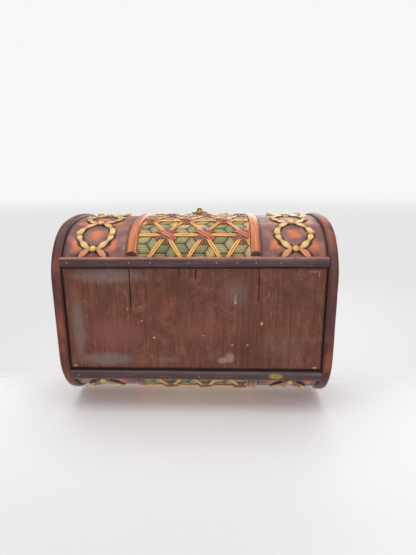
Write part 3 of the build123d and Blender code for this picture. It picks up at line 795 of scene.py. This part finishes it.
def strip_paint(across, seed):
    """Colour of one stretch of a strip between two crossings: gold, running to orange or cream, and more
    orange towards each cane's edges as painted shade.
    """
    key = Vector(seed)
    middle = mixed(gold, orange, 0.85 * smooth(0.35, 0.9, noise.cell(key)))
    middle = mixed(middle, cream, 0.7 * smooth(0.4, 0.9, noise.cell(key + Vector((3.7, 9.1, 0.4)))))
    # Painted shade: each cane turns orange towards its edges, for the shade in the groove between the two
    # canes
    return mixed(middle, orange, 0.55 * abs(2.0 * across) ** 2)


def lattice_strip(skin, start, heading, length, first, pitch, layer, seed):
    """Two flat canes side by side along a straight line of the skin, climbing over what they cross."""
    count = max(2, ceil(length / strip_step))
    forward = (cos(heading), sin(heading))
    climb = layer * strip_climb
    for hand in (-1.0, 1.0):
        rings = []
        for t in steps(0.0, length, count):
            away = abs((t - first + pitch / 2.0) % pitch - pitch / 2.0)
            settled = smooth(crossing_half, crossing_half + crossing_ramp, away)
            lift = mat_thickness + strip_lift + climb * (1.0 - settled)
            spread = 1.0 - strip_pinch * (1.0 - smooth(*pinch_run, away))
            cane_width = strip_width * strip_cane_share * spread
            wander = strip_wander * wave(t * 0.09, seed * 3.1, hand)
            crossing = floor((t - first) / pitch)
            key = (1.7 * crossing + 0.3, 1.3 * seed, 2.1 * hand + 5.3 * layer)
            ring = []
            for u, v in strand_sections:
                off = hand * strip_width * strip_cane_offset * spread + u * cane_width + wander
                place = (*beside(start, forward, t, off), lift + v * strip_thickness)
                ring.append((place, strip_paint(u, key), (t, off + 4.0 * seed, hand)))
            rings.append(ring)
        skin.tube(rings)


# Star at each crossing: heading in degrees, colour, highest lift
# Each bar is two canes, with their ends tucked in
star_bars = ((90.0, plum, 2.15), (35.0, plum, 2.5), (145.0, scarlet, 2.85))
star_half = 9.6
star_half_play = 0.14
star_slope_run = (0.45, 1.0)
star_wine_run = (0.4, 1.0)
star_steps = 14
star_canes = 2
star_cane_width = 2.25
star_cane_share = 0.94
star_thickness = 0.5
star_tuck = 1.0
first_star_row = 1


def star(skin, wall, x, s):
    """Three short double bars laid over a crossing, the red one on top."""
    upward = -1.0 if wall == "back" else 1.0
    for heading, colour, top in star_bars:
        forward = (cos(radians(heading)), upward * sin(radians(heading)))
        for cane_index in range(star_canes):
            middle = (cane_index - (star_canes - 1) / 2.0) * star_cane_width
            half = star_half * (1.0 + star_half_play * wave(x * 0.3, s * 0.3, heading + cane_index))
            rings = []
            for t in steps(-half, half, star_steps):
                arch = 1.0 - smooth(*star_slope_run, abs(t) / half)
                lift = star_tuck + (top - star_tuck) * arch
                tone = mixed(colour, mixed(colour, wine, 0.25), smooth(*star_wine_run, abs(t) / half))
                ring = []
                for u, v in strand_sections:
                    off = middle + u * star_cane_width * star_cane_share
                    place = (*beside((x, s), forward, t, off), lift + v * star_thickness)
                    # Painted shade: each cane goes black along its edges, for the shade between the two
                    # canes of a bar
                    paint = mixed(tone, black_and_shade, 0.85 * abs(2.0 * u) ** 4)
                    ring.append((place, paint, (t, off + s + 3.0 * x, heading)))
                rings.append(ring)
            skin.tube(rings)


def stars(wall):
    low_s, high_s = walls[wall]
    reach = panel_half - strip_edge_play
    low, high = wall_ends(wall)
    skin = Skin()
    for row, x, s in lattice_nodes(low, high, reach):
        inside = abs(x) < reach + star_half and low - star_half < s < high + star_half
        if inside and (wall == "lid" or row >= first_star_row):
            star(skin, wall, x, mirrored(wall, s))
    skin.trim(-reach, reach, low_s, high_s)
    skin.piece(f"{wall}_star_bars", body_of_wall[wall], "lattice_strip")


def lattice(wall):
    low_s, high_s = walls[wall]
    reach = panel_half - strip_edge_play
    skin = Skin()
    first_row = lattice_first_row if wall != "back" else total_s - lattice_first_row
    low_row = ceil((low_s - first_row) / lattice_row_pitch)
    high_row = floor((high_s - first_row) / lattice_row_pitch)
    for row in range(low_row, high_row + 1):
        s = first_row + row * lattice_row_pitch
        if min(s - low_s, high_s - s) < strip_width:
            continue
        phase = lattice_phase + (row % 2 - 1) * lattice_pitch / 2.0
        first = (phase + reach) % lattice_pitch
        lattice_strip(skin, (-reach, s), 0.0, 2.0 * reach, first, lattice_pitch, 0, float(row))
    slant = atan2(lattice_row_pitch, lattice_pitch / 2.0)
    pitch = hypot(lattice_row_pitch, lattice_pitch / 2.0)
    columns = ceil((2.0 * reach + total_s) / lattice_pitch)
    for layer, heading in ((1, slant), (2, pi - slant)):
        for index in range(-columns, columns + 1):
            x = lattice_phase - lattice_pitch / 2.0 + index * lattice_pitch
            limits = [
                sorted(((-reach - x) / cos(heading), (reach - x) / cos(heading))),
                sorted(((low_s - first_row) / sin(heading), (high_s - first_row) / sin(heading))),
            ]
            start, end = max(low for low, _ in limits), min(high for _, high in limits)
            if end - start < shortest_strip:
                continue
            start -= strip_width
            begin = (x + start * cos(heading), first_row + start * sin(heading))
            length = end - start + strip_width
            lattice_strip(skin, begin, heading, length, -start % pitch, pitch, layer, float(index) + 0.5)
    skin.trim(-reach, reach, low_s, high_s)
    skin.piece(f"{wall}_open_lattice", body_of_wall[wall], "lattice_strip", f"{wall}_lattice")


# Leather facings and the scalloped chains on them

vine_inner = skin_low + 14.6
vine_outer = skin_high - 11.2
vine_centre = (vine_inner + vine_outer) / 2.0
vine_reach = (vine_outer - vine_inner) / 2.0
vine_pitch = 32.5
vine_first_crossing = 62.1
eye_fullness = 0.85
skin_thickness = 0.7
strand_base = 0.82
strand_thickness = 1.3
strand_width = 4.3
strand_lobe = 1.2
strand_kiss = 3.05
vine_seam_play = 1.5
facing_play = 0.3
leather_step = 0.9
leather_swell = 0.12
patch_raggedness = 2.4
eye_patch_run = (2.5, 8.6)
outer_patch_run = (1.5, 8.5)
outer_patch_off = 15.5
strand_shade_run = (0.7, 1.9)
border_shade_run = (0.3, 2.6)
vine_step = 0.9
rail_stain_run = (4.0, 12.0)
bead_radius = 2.9
bead_height = 2.1
bead_shares = (1.08, 0.92)
bead_wobble = 0.25
bead_sink = 0.3
dome_top_share = 0.02
dome_foot_share = 0.25


def turn_at(wall, s):
    """Turn of the chain of eyes at s: whole at a crossing, and half way at the widest place."""
    if wall == "lid":
        return (s - total_s / 2.0) / vine_pitch
    return (mirrored(wall, s) - vine_first_crossing) / vine_pitch


def swing(turn):
    return strand_kiss + (vine_reach - strand_kiss) * abs(sin(pi * turn)) ** eye_fullness


def swing_slope(turn):
    """How fast the chain swings outward per millimetre of arc."""
    step = 0.01
    return (swing(turn + step) - swing(turn - step)) / (2.0 * step * vine_pitch)


def strand_half(turn):
    """Half the width of a strand, which swells into two leaf-like lobes from crossing to widest place."""
    return (strand_width - strand_lobe * cos(8.0 * pi * turn)) / 2.0


def vine_range(wall):
    low_end = station_at_height(rail_height + facing_play, strand_base + strand_thickness)
    high_end = seam_s - vine_seam_play
    ends = {"front": (low_end, high_end), "back": (total_s - high_end, total_s - low_end)}
    return ends.get(wall, (seam_s + vine_seam_play, total_s - seam_s - vine_seam_play))


def leather_paint(wall, x, s, side):
    """Sprayed colour of the leather: copper in the eyes and beside them, and painted shade in black along
    the strands and edges.
    """
    turn = turn_at(wall, s)
    off = (abs(x - side * vine_centre) - swing(turn)) / sqrt(1.0 + swing_slope(turn) ** 2)
    beyond = abs(off) - strand_half(turn)
    border = min(abs(x) - skin_low, skin_high - abs(x))
    ragged = patch_raggedness * wave(x, s, side, scale=0.16)
    if off < 0.0:
        reach = hypot(0.95 * (abs(x) - abs(vine_centre)), ((turn + 0.04) % 1.0 - 0.54) * vine_pitch)
        patch = 1.0 - smooth(*eye_patch_run, reach + ragged)
    else:
        away = abs(abs(x) - vine_centre)
        reach = hypot(1.2 * (away - outer_patch_off), 0.85 * ((turn + 0.36) % 1.0 - 0.5) * vine_pitch)
        patch = (1.0 - smooth(*outer_patch_run, reach + ragged)) * smooth(0.8, 2.6, beyond)
    colour = mixed(leather_brown, leather_red, smooth(-0.4, 0.6, wave(x, s, side + 5.0, scale=0.11)))
    colour = mixed(colour, copper, min(max(patch, 0.0), 1.0))
    # Painted shade: black along the strands and along the edges, where the raised strands, ribs and hoops
    # meet the leather
    colour = mixed(colour, black_and_shade, 0.95 * (1.0 - smooth(*strand_shade_run, beyond)))
    return mixed(colour, black_and_shade, 0.8 * (1.0 - smooth(*border_shade_run, border)))


def leather(wall, side):
    low_s, high_s = walls[wall]
    sign = sides[side]
    count_s = ceil((high_s - low_s) / leather_step)
    count_x = ceil((skin_high - skin_low) / leather_step)
    rows = []
    for s in steps(low_s, high_s, count_s):
        row = []
        for off in steps(skin_low, skin_high, count_x):
            x = sign * off
            swell = leather_swell * wave(x, s, 2.0, scale=0.09) - leather_swell
            row.append(((x, s, skin_thickness + swell), leather_paint(wall, x, s, sign)))
        rows.append(row)
    skin = Skin()
    skin.pad(rows, 0.0)
    skin.piece(f"{wall}_facing_{side}", body_of_wall[wall], "leather", f"{wall}_leather_{side}")


def vine(wall, side):
    """Both strands of a chain, each a run of leaf-like lobes with a raised middle."""
    low_s, high_s = vine_range(wall)
    middle = sides[side] * vine_centre
    on_rail = wall if wall != "lid" else ""
    low_s -= rail_tuck if wall == "front" else 0.0
    high_s += rail_tuck if wall == "back" else 0.0
    count = ceil((high_s - low_s) / vine_step)
    half_profile = ((1.0, 0.0), (0.98, 0.5), (0.8, 0.86), (0.5, 0.95), (0.34, 0.84), (0.2, 0.94))
    profile = [(-u, v) for u, v in half_profile] + [(0.0, 1.0)] + list(reversed(half_profile))
    skin = Skin()
    for hand in (-1.0, 1.0):
        rings = []
        for s in steps(low_s, high_s, count):
            turn = turn_at(wall, s)
            slope = hand * swing_slope(turn)
            norm = sqrt(1.0 + slope**2)
            lobe = (strand_half(turn) - (strand_width - strand_lobe) / 2.0) / strand_lobe
            base = mixed(honey, cream, lobe)
            if wall != "lid":
                from_rail = abs(mirrored(wall, s) - rail_s)
                base = mixed(base, copper, 0.75 * (1.0 - smooth(*rail_stain_run, from_rail)))
            ring = []
            for u, v in profile:
                off = u * strand_half(turn)
                x = middle + hand * swing(turn) + off / norm
                # Painted shade: each strand darkens to brown down its sloping sides
                paint = mixed(base, strand_side_shade, smooth(0.78, 1.0, abs(u)))
                paint = mixed(paint, orange, 0.6 * lobe * (1.0 - smooth(0.04, 0.14, abs(abs(u) - 0.34))))
                lift = strand_base + v * strand_thickness * (0.85 + 0.15 * lobe)
                ring.append(((x, s - off * slope / norm, lift), paint, (s, off, hand)))
            rings.append(ring)
        skin.tube(rings)
    skin.trim(-chest_half, chest_half, low_s, high_s)
    node = f"{wall}_vine_{side}"
    skin.piece(f"{wall}_scallops_{side}", body_of_wall[wall], "strand", node, on_rail=on_rail)


def round_ring(x, s, level, radius_x, radius_s, count, tone=1.0):
    """Points of a level ring for a tube."""
    turns = [2.0 * pi * i / count for i in range(count)]
    return [((x + radius_x * cos(turn), s + radius_s * sin(turn), level), (tone,) * 3) for turn in turns]


def dome(skin, x, s, lift, radius_x, radius_s, height, count=20, rings=6):
    """Low dome on the skin, with a darker foot."""
    rows = []
    for ring in range(rings + 1):
        angle = (pi / 2.0) * ring / rings
        share = max(cos(angle), dome_top_share)
        tone = smooth(0.0, dome_foot_share, ring / rings) if ring else 0.0
        level = lift + height * sin(angle)
        rows.append(round_ring(x, s, level, radius_x * share, radius_s * share, count, tone))
    skin.tube(rows)


def bead_places(wall):
    """Offsets and arc lengths of the beads: one on each crossing and two at each widest place."""
    low_s, high_s = vine_range(wall)
    turns = sorted((turn_at(wall, low_s), turn_at(wall, high_s)))
    for half_turn in range(ceil(2.0 * turns[0]), floor(2.0 * turns[1]) + 1):
        s = (total_s / 2.0 if wall == "lid" else vine_first_crossing) + half_turn * vine_pitch / 2.0
        s = mirrored(wall, s)
        if low_s + bead_radius < s < high_s - bead_radius:
            for offset in (0.0,) if half_turn % 2 == 0 else (-vine_reach, vine_reach):
                yield offset, s


def beads(name, body, wall_names, node):
    skin = Skin()
    lift = strand_base + strand_thickness - bead_sink
    for wall in wall_names:
        for sign in sides.values():
            for offset, s in bead_places(wall):
                wobble = bead_wobble * wave(offset, s, sign)
                radii = bead_radius * (bead_shares[0] + wobble), bead_radius * (bead_shares[1] - wobble)
                dome(skin, sign * vine_centre + offset, s, lift, *radii, bead_height)
    skin.piece(name, body, "bead", node, sharp=70.0)


# Bent cane: hoops at the ends and split ribs beside the woven panel

rib_proud = 3.2
rib_edge = 0.9
hoop_edge = 1.4
cane_step = 2.0
cane_sides = 12
lean_run = 4.0
floor_shade_run = (2.0, 26.0)


def cane(skin, low_x, high_x, start, end, proud, edge, slopes=(0.0, 0.0), wobble=0.16):
    """Half-round cane along the skin; a slope leans its cut end back as it rises."""
    middle, half = (low_x + high_x) / 2.0, (high_x - low_x) / 2.0
    stops = steps(start, end, ceil((end - start) / cane_step))
    rings = []
    for s in [start] + stops + [end]:
        cap = 1.0 if len(rings) in (0, len(stops) + 1) else 0.0
        wander = wobble * wave(low_x * 0.3, s * 0.05, 1.0)
        flat = 1.0 + 0.02 * wave(low_x, s * 0.08, 5.0)
        ring = [(low_x, lift, 0.0, (-half, s, 0.0)) for lift in (0.0, edge)]
        for side in range(1, cane_sides):
            angle = pi * side / cane_sides
            x = middle - half * cos(angle) * flat + wander * sin(angle)
            lift = edge + (proud - edge) * sin(angle) ** 0.8
            # Wear and painted highlight: the crest of the cane runs lighter, in patches
            wear_and_highlight = sin(angle) ** 2 * smooth(-0.35, 0.35, wave(low_x, s * 0.02, 9.0))
            ring.append((x, lift, wear_and_highlight, (x - middle, s, low_x)))
        ring += [(high_x, lift, 0.0, (half, s, 0.0)) for lift in (edge, 0.0)]
        lean = slopes[0] * max(0.0, 1.0 - (s - start) / lean_run)
        lean += slopes[1] * max(0.0, 1.0 - (end - s) / lean_run)
        # Painted shade: darker towards the rear rail of the back wall
        painted_floor_shade = 1.0 - smooth(*floor_shade_run, total_s - rail_s - s)
        rings.append([
            ((x, s + lean * lift, lift), (wear_and_highlight, cap, painted_floor_shade), grain) for x, lift, wear_and_highlight, grain in ring
        ])
    skin.tube(rings)


def hoop(side, part):
    low_x, high_x = sorted((sides[side] * hoop_inner, sides[side] * chest_half))
    reach = seam_s - seam_gap / 2.0
    ends = (-reach, reach) if part == "body" else walls["lid"]
    skin = Skin()
    cane(skin, low_x, high_x, *ends, hoop_proud, hoop_edge)
    skin.piece(f"{part}_end_hoop_{side}", part, "dark_cane", f"{part}_hoop_{side}")


rib_end_gap = 2.2


def rib(side, wall):
    low_x, high_x = sorted((sides[side] * rib_low, sides[side] * rib_high))
    low_s, high_s = walls[wall]
    slopes = (0.0, 0.0)
    if wall == "front":
        low_s, slopes = low_s + rib_end_gap, (1.0, 0.0)
    if wall == "back":
        high_s, slopes = high_s - rib_end_gap, (0.0, -1.0)
    skin = Skin()
    cane(skin, low_x, high_x, low_s, high_s, rib_proud, rib_edge, slopes, 0.1)
    skin.piece(f"{wall}_split_rib_{side}", body_of_wall[wall], "orange_cane", f"{wall}_rib_{side}")


# Rails, bottom board and their nails

rail_step = 2.5
splice_x = 83.0
splice_half = 0.5
splice_depth = 0.22
rail_unevenness = 0.175
rail_lift = 0.15


def rail(name, node):
    """Bar with rounded edges, a little uneven along its length, red on its outer edges as wear and painted
    highlight.
    """
    low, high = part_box(node)
    low_x, low_y, low_z = (value / mm for value in low)
    high_x, high_y, high_z = (value / mm for value in high)
    middle = ((low_y + high_y) / 2.0, (low_z + high_z) / 2.0)
    half = ((high_y - low_y) / 2.0, (high_z - low_z) / 2.0)
    outline = []
    for corner in range(4):
        for step in range(5):
            angle = pi / 2.0 * (corner + step / 4.0)
            sign_y = 1.0 if corner in (0, 3) else -1.0
            sign_z = 1.0 if corner in (0, 1) else -1.0
            y = middle[0] + sign_y * (half[0] - rail_rounding) + rail_rounding * cos(angle)
            z = middle[1] + sign_z * (half[1] - rail_rounding) + rail_rounding * sin(angle)
            outward = (y - middle[0]) * (1.0 if middle[0] > 0.0 else -1.0)
            # Wear and painted highlight: lighter towards the outer edge, and less of it in the splice
            wear_and_highlight = smooth(0.72, 0.98, outward / half[0])
            outline.append((y, z, wear_and_highlight))
    stops = steps(low_x, high_x, ceil((high_x - low_x) / rail_step))
    if node == "front_rail":
        stops = sorted(stops + [splice_x - splice_half, splice_x, splice_x + splice_half])
    skin = Skin(curved=False)
    rings = []
    for x in stops:
        pinch = splice_depth if node == "front_rail" and abs(x - splice_x) < splice_half / 2.0 else 0.0
        ring = []
        for y, z, wear_and_highlight in outline:
            dip = rail_unevenness * (0.5 + 0.5 * wave(x * 0.035, y * 0.3, z * 0.3)) + pinch
            shrink = 1.0 - dip / half[0]
            shrunk_y = middle[0] + (y - middle[0]) * shrink
            shrunk_z = max(middle[1] + (z - middle[1]) * shrink, low_z + rail_lift)
            tone = max(0.0, wear_and_highlight * (0.75 + 0.9 * wave(x * 0.05, 3.0, middle[0])))
            ring.append(((x, shrunk_y, shrunk_z), (tone * (1.0 - 3.0 * pinch),) * 3, (x, y, z)))
        rings.append(ring)
    skin.tube(rings)
    skin.piece(name, "body", "dark_cane", node, finish="rail")


# Nails of each rail: places along the chest, as the photograph shows them on the front one
front_nails = (-105.0, -72.0, -53.0, -35.0, -3.5, 19.5, 36.5, 52.0, 72.0, 95.0)
rear_nails = (-104.0, -69.0, -30.0, 4.0, 41.0, 88.0)
nail_radius = 0.75
nail_rise = 0.35
nail_inset = 4.2
head_sides, head_rings = 16, 5


def rail_heads():
    """Small flat nail heads under the rails."""
    skin = Skin(curved=False)
    for facing, places in ((-1.0, front_nails), (1.0, rear_nails)):
        for x in places:
            y = facing * (rail_outer - nail_inset)
            dome(skin, x, y, nail_rise, nail_radius, nail_radius, -nail_rise, head_sides, head_rings)
    skin.piece("rail_nail_heads", "body", "brass", "rail_nails", sharp=70.0)


crack_width = 0.35
board_columns = 72
board_rows = 40
board_swell = 0.1
crack_wander = 0.5


def board():
    """Bottom board, with its drying cracks cut in from the front edge."""
    low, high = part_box("bottom_board")
    low_x, low_y, low_z = (value / mm for value in low)
    high_x, high_y, high_z = (value / mm for value in high)
    columns = steps(low_x, high_x, board_columns)
    for x, _, _ in cracks:
        columns += [x - crack_width, x, x + crack_width]
    columns.sort()
    skin = Skin(curved=False)
    rows = []
    for y in steps(low_y, high_y, board_rows):
        row = []
        for x in columns:
            depth = 0.0
            for place, length, deep in cracks:
                if abs(x - place) < crack_width / 2.0:
                    depth = deep * (1.0 - smooth(0.75 * length, length, y - low_y))
            swell = board_swell * wave(x * 0.02, y * 0.03, 0.0) + board_swell
            wander = crack_wander * wave(y * 0.12, round(x / 10.0), 4.0) if low_x < x < high_x else 0.0
            row.append(((x + wander, y, low_z + swell + depth),))
        rows.append(row)
    skin.pad(rows, high_z, follow=False)
    skin.piece("bottom_panel", "body", "stained_board", "bottom_board")


# Small brass heads

head_radius = 1.2
disc_sides = 18
screw_rise = 0.6
first_slot_turn = 0.7
slot_half = 0.168
plate_nail_rise = 0.62
leaf_rise = 0.9
plate_face = 4.02
# Levels of a screw head's raised halves and their radii, as shares
screw_levels = ((0.4, 0.98), (0.75, 0.92), (1.0, 0.6))


def slot_screw(skin, x, s, lift, turn):
    """Round screw head: a low disc with two raised halves beside its slot."""
    levels = (lift, lift + 0.45 * screw_rise)
    skin.tube([round_ring(x, s, level, head_radius, head_radius, disc_sides) for level in levels])
    for hand in (-1.0, 1.0):
        rings = []
        for level, share in screw_levels:
            ring = []
            for angle in steps(0.0, pi, 8):
                along = head_radius * share * cos(angle)
                out = hand * (slot_half + (head_radius * share - slot_half) * sin(angle))
                place = beside((x, s), (cos(turn), sin(turn)), along, out)
                ring.append(((*place, lift + level * screw_rise),))
            rings.append(ring)
        skin.tube(rings)


def middle_height(node):
    low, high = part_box(node)
    return (low[2] + high[2]) / 2.0 / mm


def hinge_heads(name, node, body):
    """Two slotted screws on each hinge leaf."""
    lift = skin_thickness + leaf_rise
    s = total_s - station_at_height(middle_height(node), lift)
    skin = Skin()
    leaf_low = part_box("hinge_lower_leaf_right")[0][0] / mm
    leaf_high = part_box("hinge_lower_leaf_right")[1][0] / mm
    middle, quarter = (leaf_low + leaf_high) / 2.0, (leaf_high - leaf_low) / 4.0
    for sign in (-1.0, 1.0):
        for hand in (-1.0, 1.0):
            slot_screw(skin, sign * middle + hand * quarter, s, lift, first_slot_turn + hand + 2.0 * sign)
    skin.piece(name, body, "brass", node, sharp=40.0)


def plate_heads(name, node, body):
    """A domed nail at each end of a plate on the front."""
    low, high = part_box(node)
    s = station_at_height(middle_height(node), plate_face)
    skin = Skin()
    for x in (low[0] / mm + head_radius, high[0] / mm - head_radius):
        dome(skin, x, s, plate_face, head_radius, head_radius, plate_nail_rise, head_sides, head_rings)
    skin.piece(name, body, "brass", node, sharp=70.0)


# Build every piece

for wall in walls:
    mat(wall)
    lattice(wall)
    stars(wall)
    for side in sides:
        leather(wall, side)
        vine(wall, side)
        rib(side, wall)
for side in sides:
    for part in ("body", "lid"):
        hoop(side, part)
beads("body_chain_beads", "body", ("front", "back"), "body_beads")
beads("lid_chain_beads", "lid", ("lid",), "lid_beads")
rail("front_bar", "front_rail")
rail("rear_bar", "rear_rail")
rail_heads()
board()
hinge_heads("lower_screw_heads", "hinge_lower_screws", "body")
hinge_heads("upper_screw_heads", "hinge_upper_screws", "lid")
plate_heads("staple_nail_heads", "staple_nails", "body")
plate_heads("hasp_nail_heads", "hasp_nails", "lid")

carried = {
    "bare_wood": ["front_shell", "back_shell", "lid_shell"],
    "stained_end": ["end_panel_left", "end_panel_right", "lid_end_left", "lid_end_right"],
    "brass": ["hasp_plate", "hasp_flap", "hasp_pin", "staple"],
}
for part in ("lower_leaf", "upper_leaf", "pin"):
    carried["brass"] += [f"hinge_{part}_{side}" for side in sides]
for finish, names in carried.items():
    for name in names:
        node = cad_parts[name]
        node.data.materials.clear()
        node.data.materials.append(materials[finish])


# Stage: pale sheets that only the camera sees from their front, under the chest and behind it

paper_grey = (0.8, 0.795, 0.795)
paper_white = (0.94, 0.94, 0.94)


def stage_look(name, low_tone, high_tone, low_z, high_z, fade):
    """Matt paper near the chest, running out evenly into the pale surroundings further off."""
    look = Look(name)
    light_path = look.nodes.new("ShaderNodeLightPath")
    facing = look.nodes.new("ShaderNodeNewGeometry")
    clear = look.nodes.new("ShaderNodeBsdfTransparent")
    glow = look.nodes.new("ShaderNodeEmission")
    shown = look.nodes.new("ShaderNodeMixShader")
    blend = look.nodes.new("ShaderNodeMixShader")
    place = look.place()
    height = look.split(place)[2]
    distance = look.vector_math("LENGTH", place)
    look.set(Base_Color=look.mix(look.span(height, low_z, high_z), low_tone, high_tone), Roughness=0.9)
    look.feed(glow.inputs["Color"], look.mix(look.span(distance, 3.2, 8.0), paper_grey, paper_white))
    look.feed(shown.inputs[0], look.span(distance, 0.35, 1.0))
    look.links.new(look.shader.outputs[0], shown.inputs[1])
    look.links.new(glow.outputs[0], shown.inputs[2])
    front = look.math("SUBTRACT", 1.0, facing.outputs["Backfacing"])
    if fade:
        front = look.times(front, look.span(height, fade[0], fade[1], 1.0, 0.0))
    look.links.new(look.times(front, light_path.outputs["Is Camera Ray"]), blend.inputs[0])
    look.links.new(clear.outputs[0], blend.inputs[1])
    look.links.new(shown.outputs[0], blend.inputs[2])
    look.links.new(blend.outputs[0], look.output.inputs[0])
    return look.material


def sheet_plane(name, corners, material):
    mesh = bpy.data.meshes.new(name)
    mesh.from_pydata([Vector(corner) for corner in corners], [], [(0, 1, 2, 3)])
    mesh.materials.append(material)
    placed(name, mesh)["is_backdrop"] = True


stage_far = 9.0
back_y = cad_box[1][1]
near_paper = stage_look("near_paper", (0.78, 0.775, 0.775), (0.89, 0.88, 0.885), -0.16, 0.0, (0.03, 0.085))
far_paper = stage_look("far_paper", (0.76, 0.75, 0.75), (0.76, 0.75, 0.75), 0.0, 1.0, None)
near_sheet_end = 0.086
lid_room = 0.085
for name, y, low_z, high_z, paper in (
    ("near_sheet", back_y, -stage_far, near_sheet_end, near_paper),
    ("far_sheet", back_y + lid_room, -stage_far, stage_far, far_paper),
):
    sheet_plane(name, (
        (-stage_far, y, low_z), (stage_far, y, low_z), (stage_far, y, high_z), (-stage_far, y, high_z),
    ), paper)
sheet_plane("floor_sheet", (
    (-stage_far, -stage_far, 0.0), (stage_far, -stage_far, 0.0),
    (stage_far, stage_far, 0.0), (-stage_far, stage_far, 0.0),
), near_paper)


# Light: a pale tent all round, with soft lamps on both sides of it

def tent():
    world = bpy.data.worlds.new("tent")
    bpy.context.scene.world = world
    world.use_nodes = True
    nodes, links = world.node_tree.nodes, world.node_tree.links
    background = nodes["Background"]
    background.inputs["Color"].default_value = (0.95, 0.95, 0.96, 1.0)
    background.inputs["Strength"].default_value = 0.6
    shown = nodes.new("ShaderNodeBackground")
    shown.inputs["Color"].default_value = (0.94, 0.94, 0.94, 1.0)
    shown.inputs["Strength"].default_value = 1.0
    blend = nodes.new("ShaderNodeMixShader")
    light_path = nodes.new("ShaderNodeLightPath")
    links.new(light_path.outputs["Is Camera Ray"], blend.inputs[0])
    links.new(background.outputs[0], blend.inputs[1])
    links.new(shown.outputs[0], blend.inputs[2])
    links.new(blend.outputs[0], nodes["World Output"].inputs[0])


def lamp(name, place, target, size, power):
    data = bpy.data.lights.new(name, "AREA")
    data.shape = "SQUARE"
    data.size = size
    data.energy = power
    made = placed(name, data)
    made.location = place
    made.rotation_euler = (Vector(target) - Vector(place)).to_track_quat("-Z", "Y").to_euler()


tent()
middle = (0.0, 0.0, 0.07)
lamp("front_lamp", (-0.1, -1.0, 0.0), middle, 1.1, 7.0)
lamp("under_lamp", (0.3, -0.4, -1.0), middle, 0.8, 3.0)
lamp("top_lamp", (0.3, -0.3, 1.2), middle, 0.9, 6.0)
lamp("rear_lamp", (-0.5, 0.7, 1.1), middle, 0.9, 2.0)


# Camera: in front of and below the chest, which lies on its back with its bottom towards it

focal_pixels = 385.0
photo_height = 555.0
sensor = 36.0
pitch, yaw, roll = radians(13.828), radians(2.045), radians(-0.460)
camera_place = (0.0235, -0.11503, -0.30878)


def turn_about(axis, angle):
    return Matrix.Rotation(angle, 3, axis)


def add_camera():
    data = bpy.data.cameras.new("camera")
    data.sensor_width = sensor
    data.lens = sensor * focal_pixels / photo_height
    made = placed("camera", data)
    turned = turn_about("Z", roll) @ turn_about("X", pitch) @ turn_about("Y", yaw)
    axes = Matrix((turned[0], -turned[1], -turned[2])).transposed()
    made.matrix_world = Matrix.Translation(camera_place) @ axes.to_4x4()
    bpy.context.scene.camera = made


add_camera()
bpy.context.scene.view_settings.view_transform = "Standard"

boxes = {"cad": cad_box, "visual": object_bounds()}
{name: [[float(v) for v in corner] for corner in box] for name, box in boxes.items()}
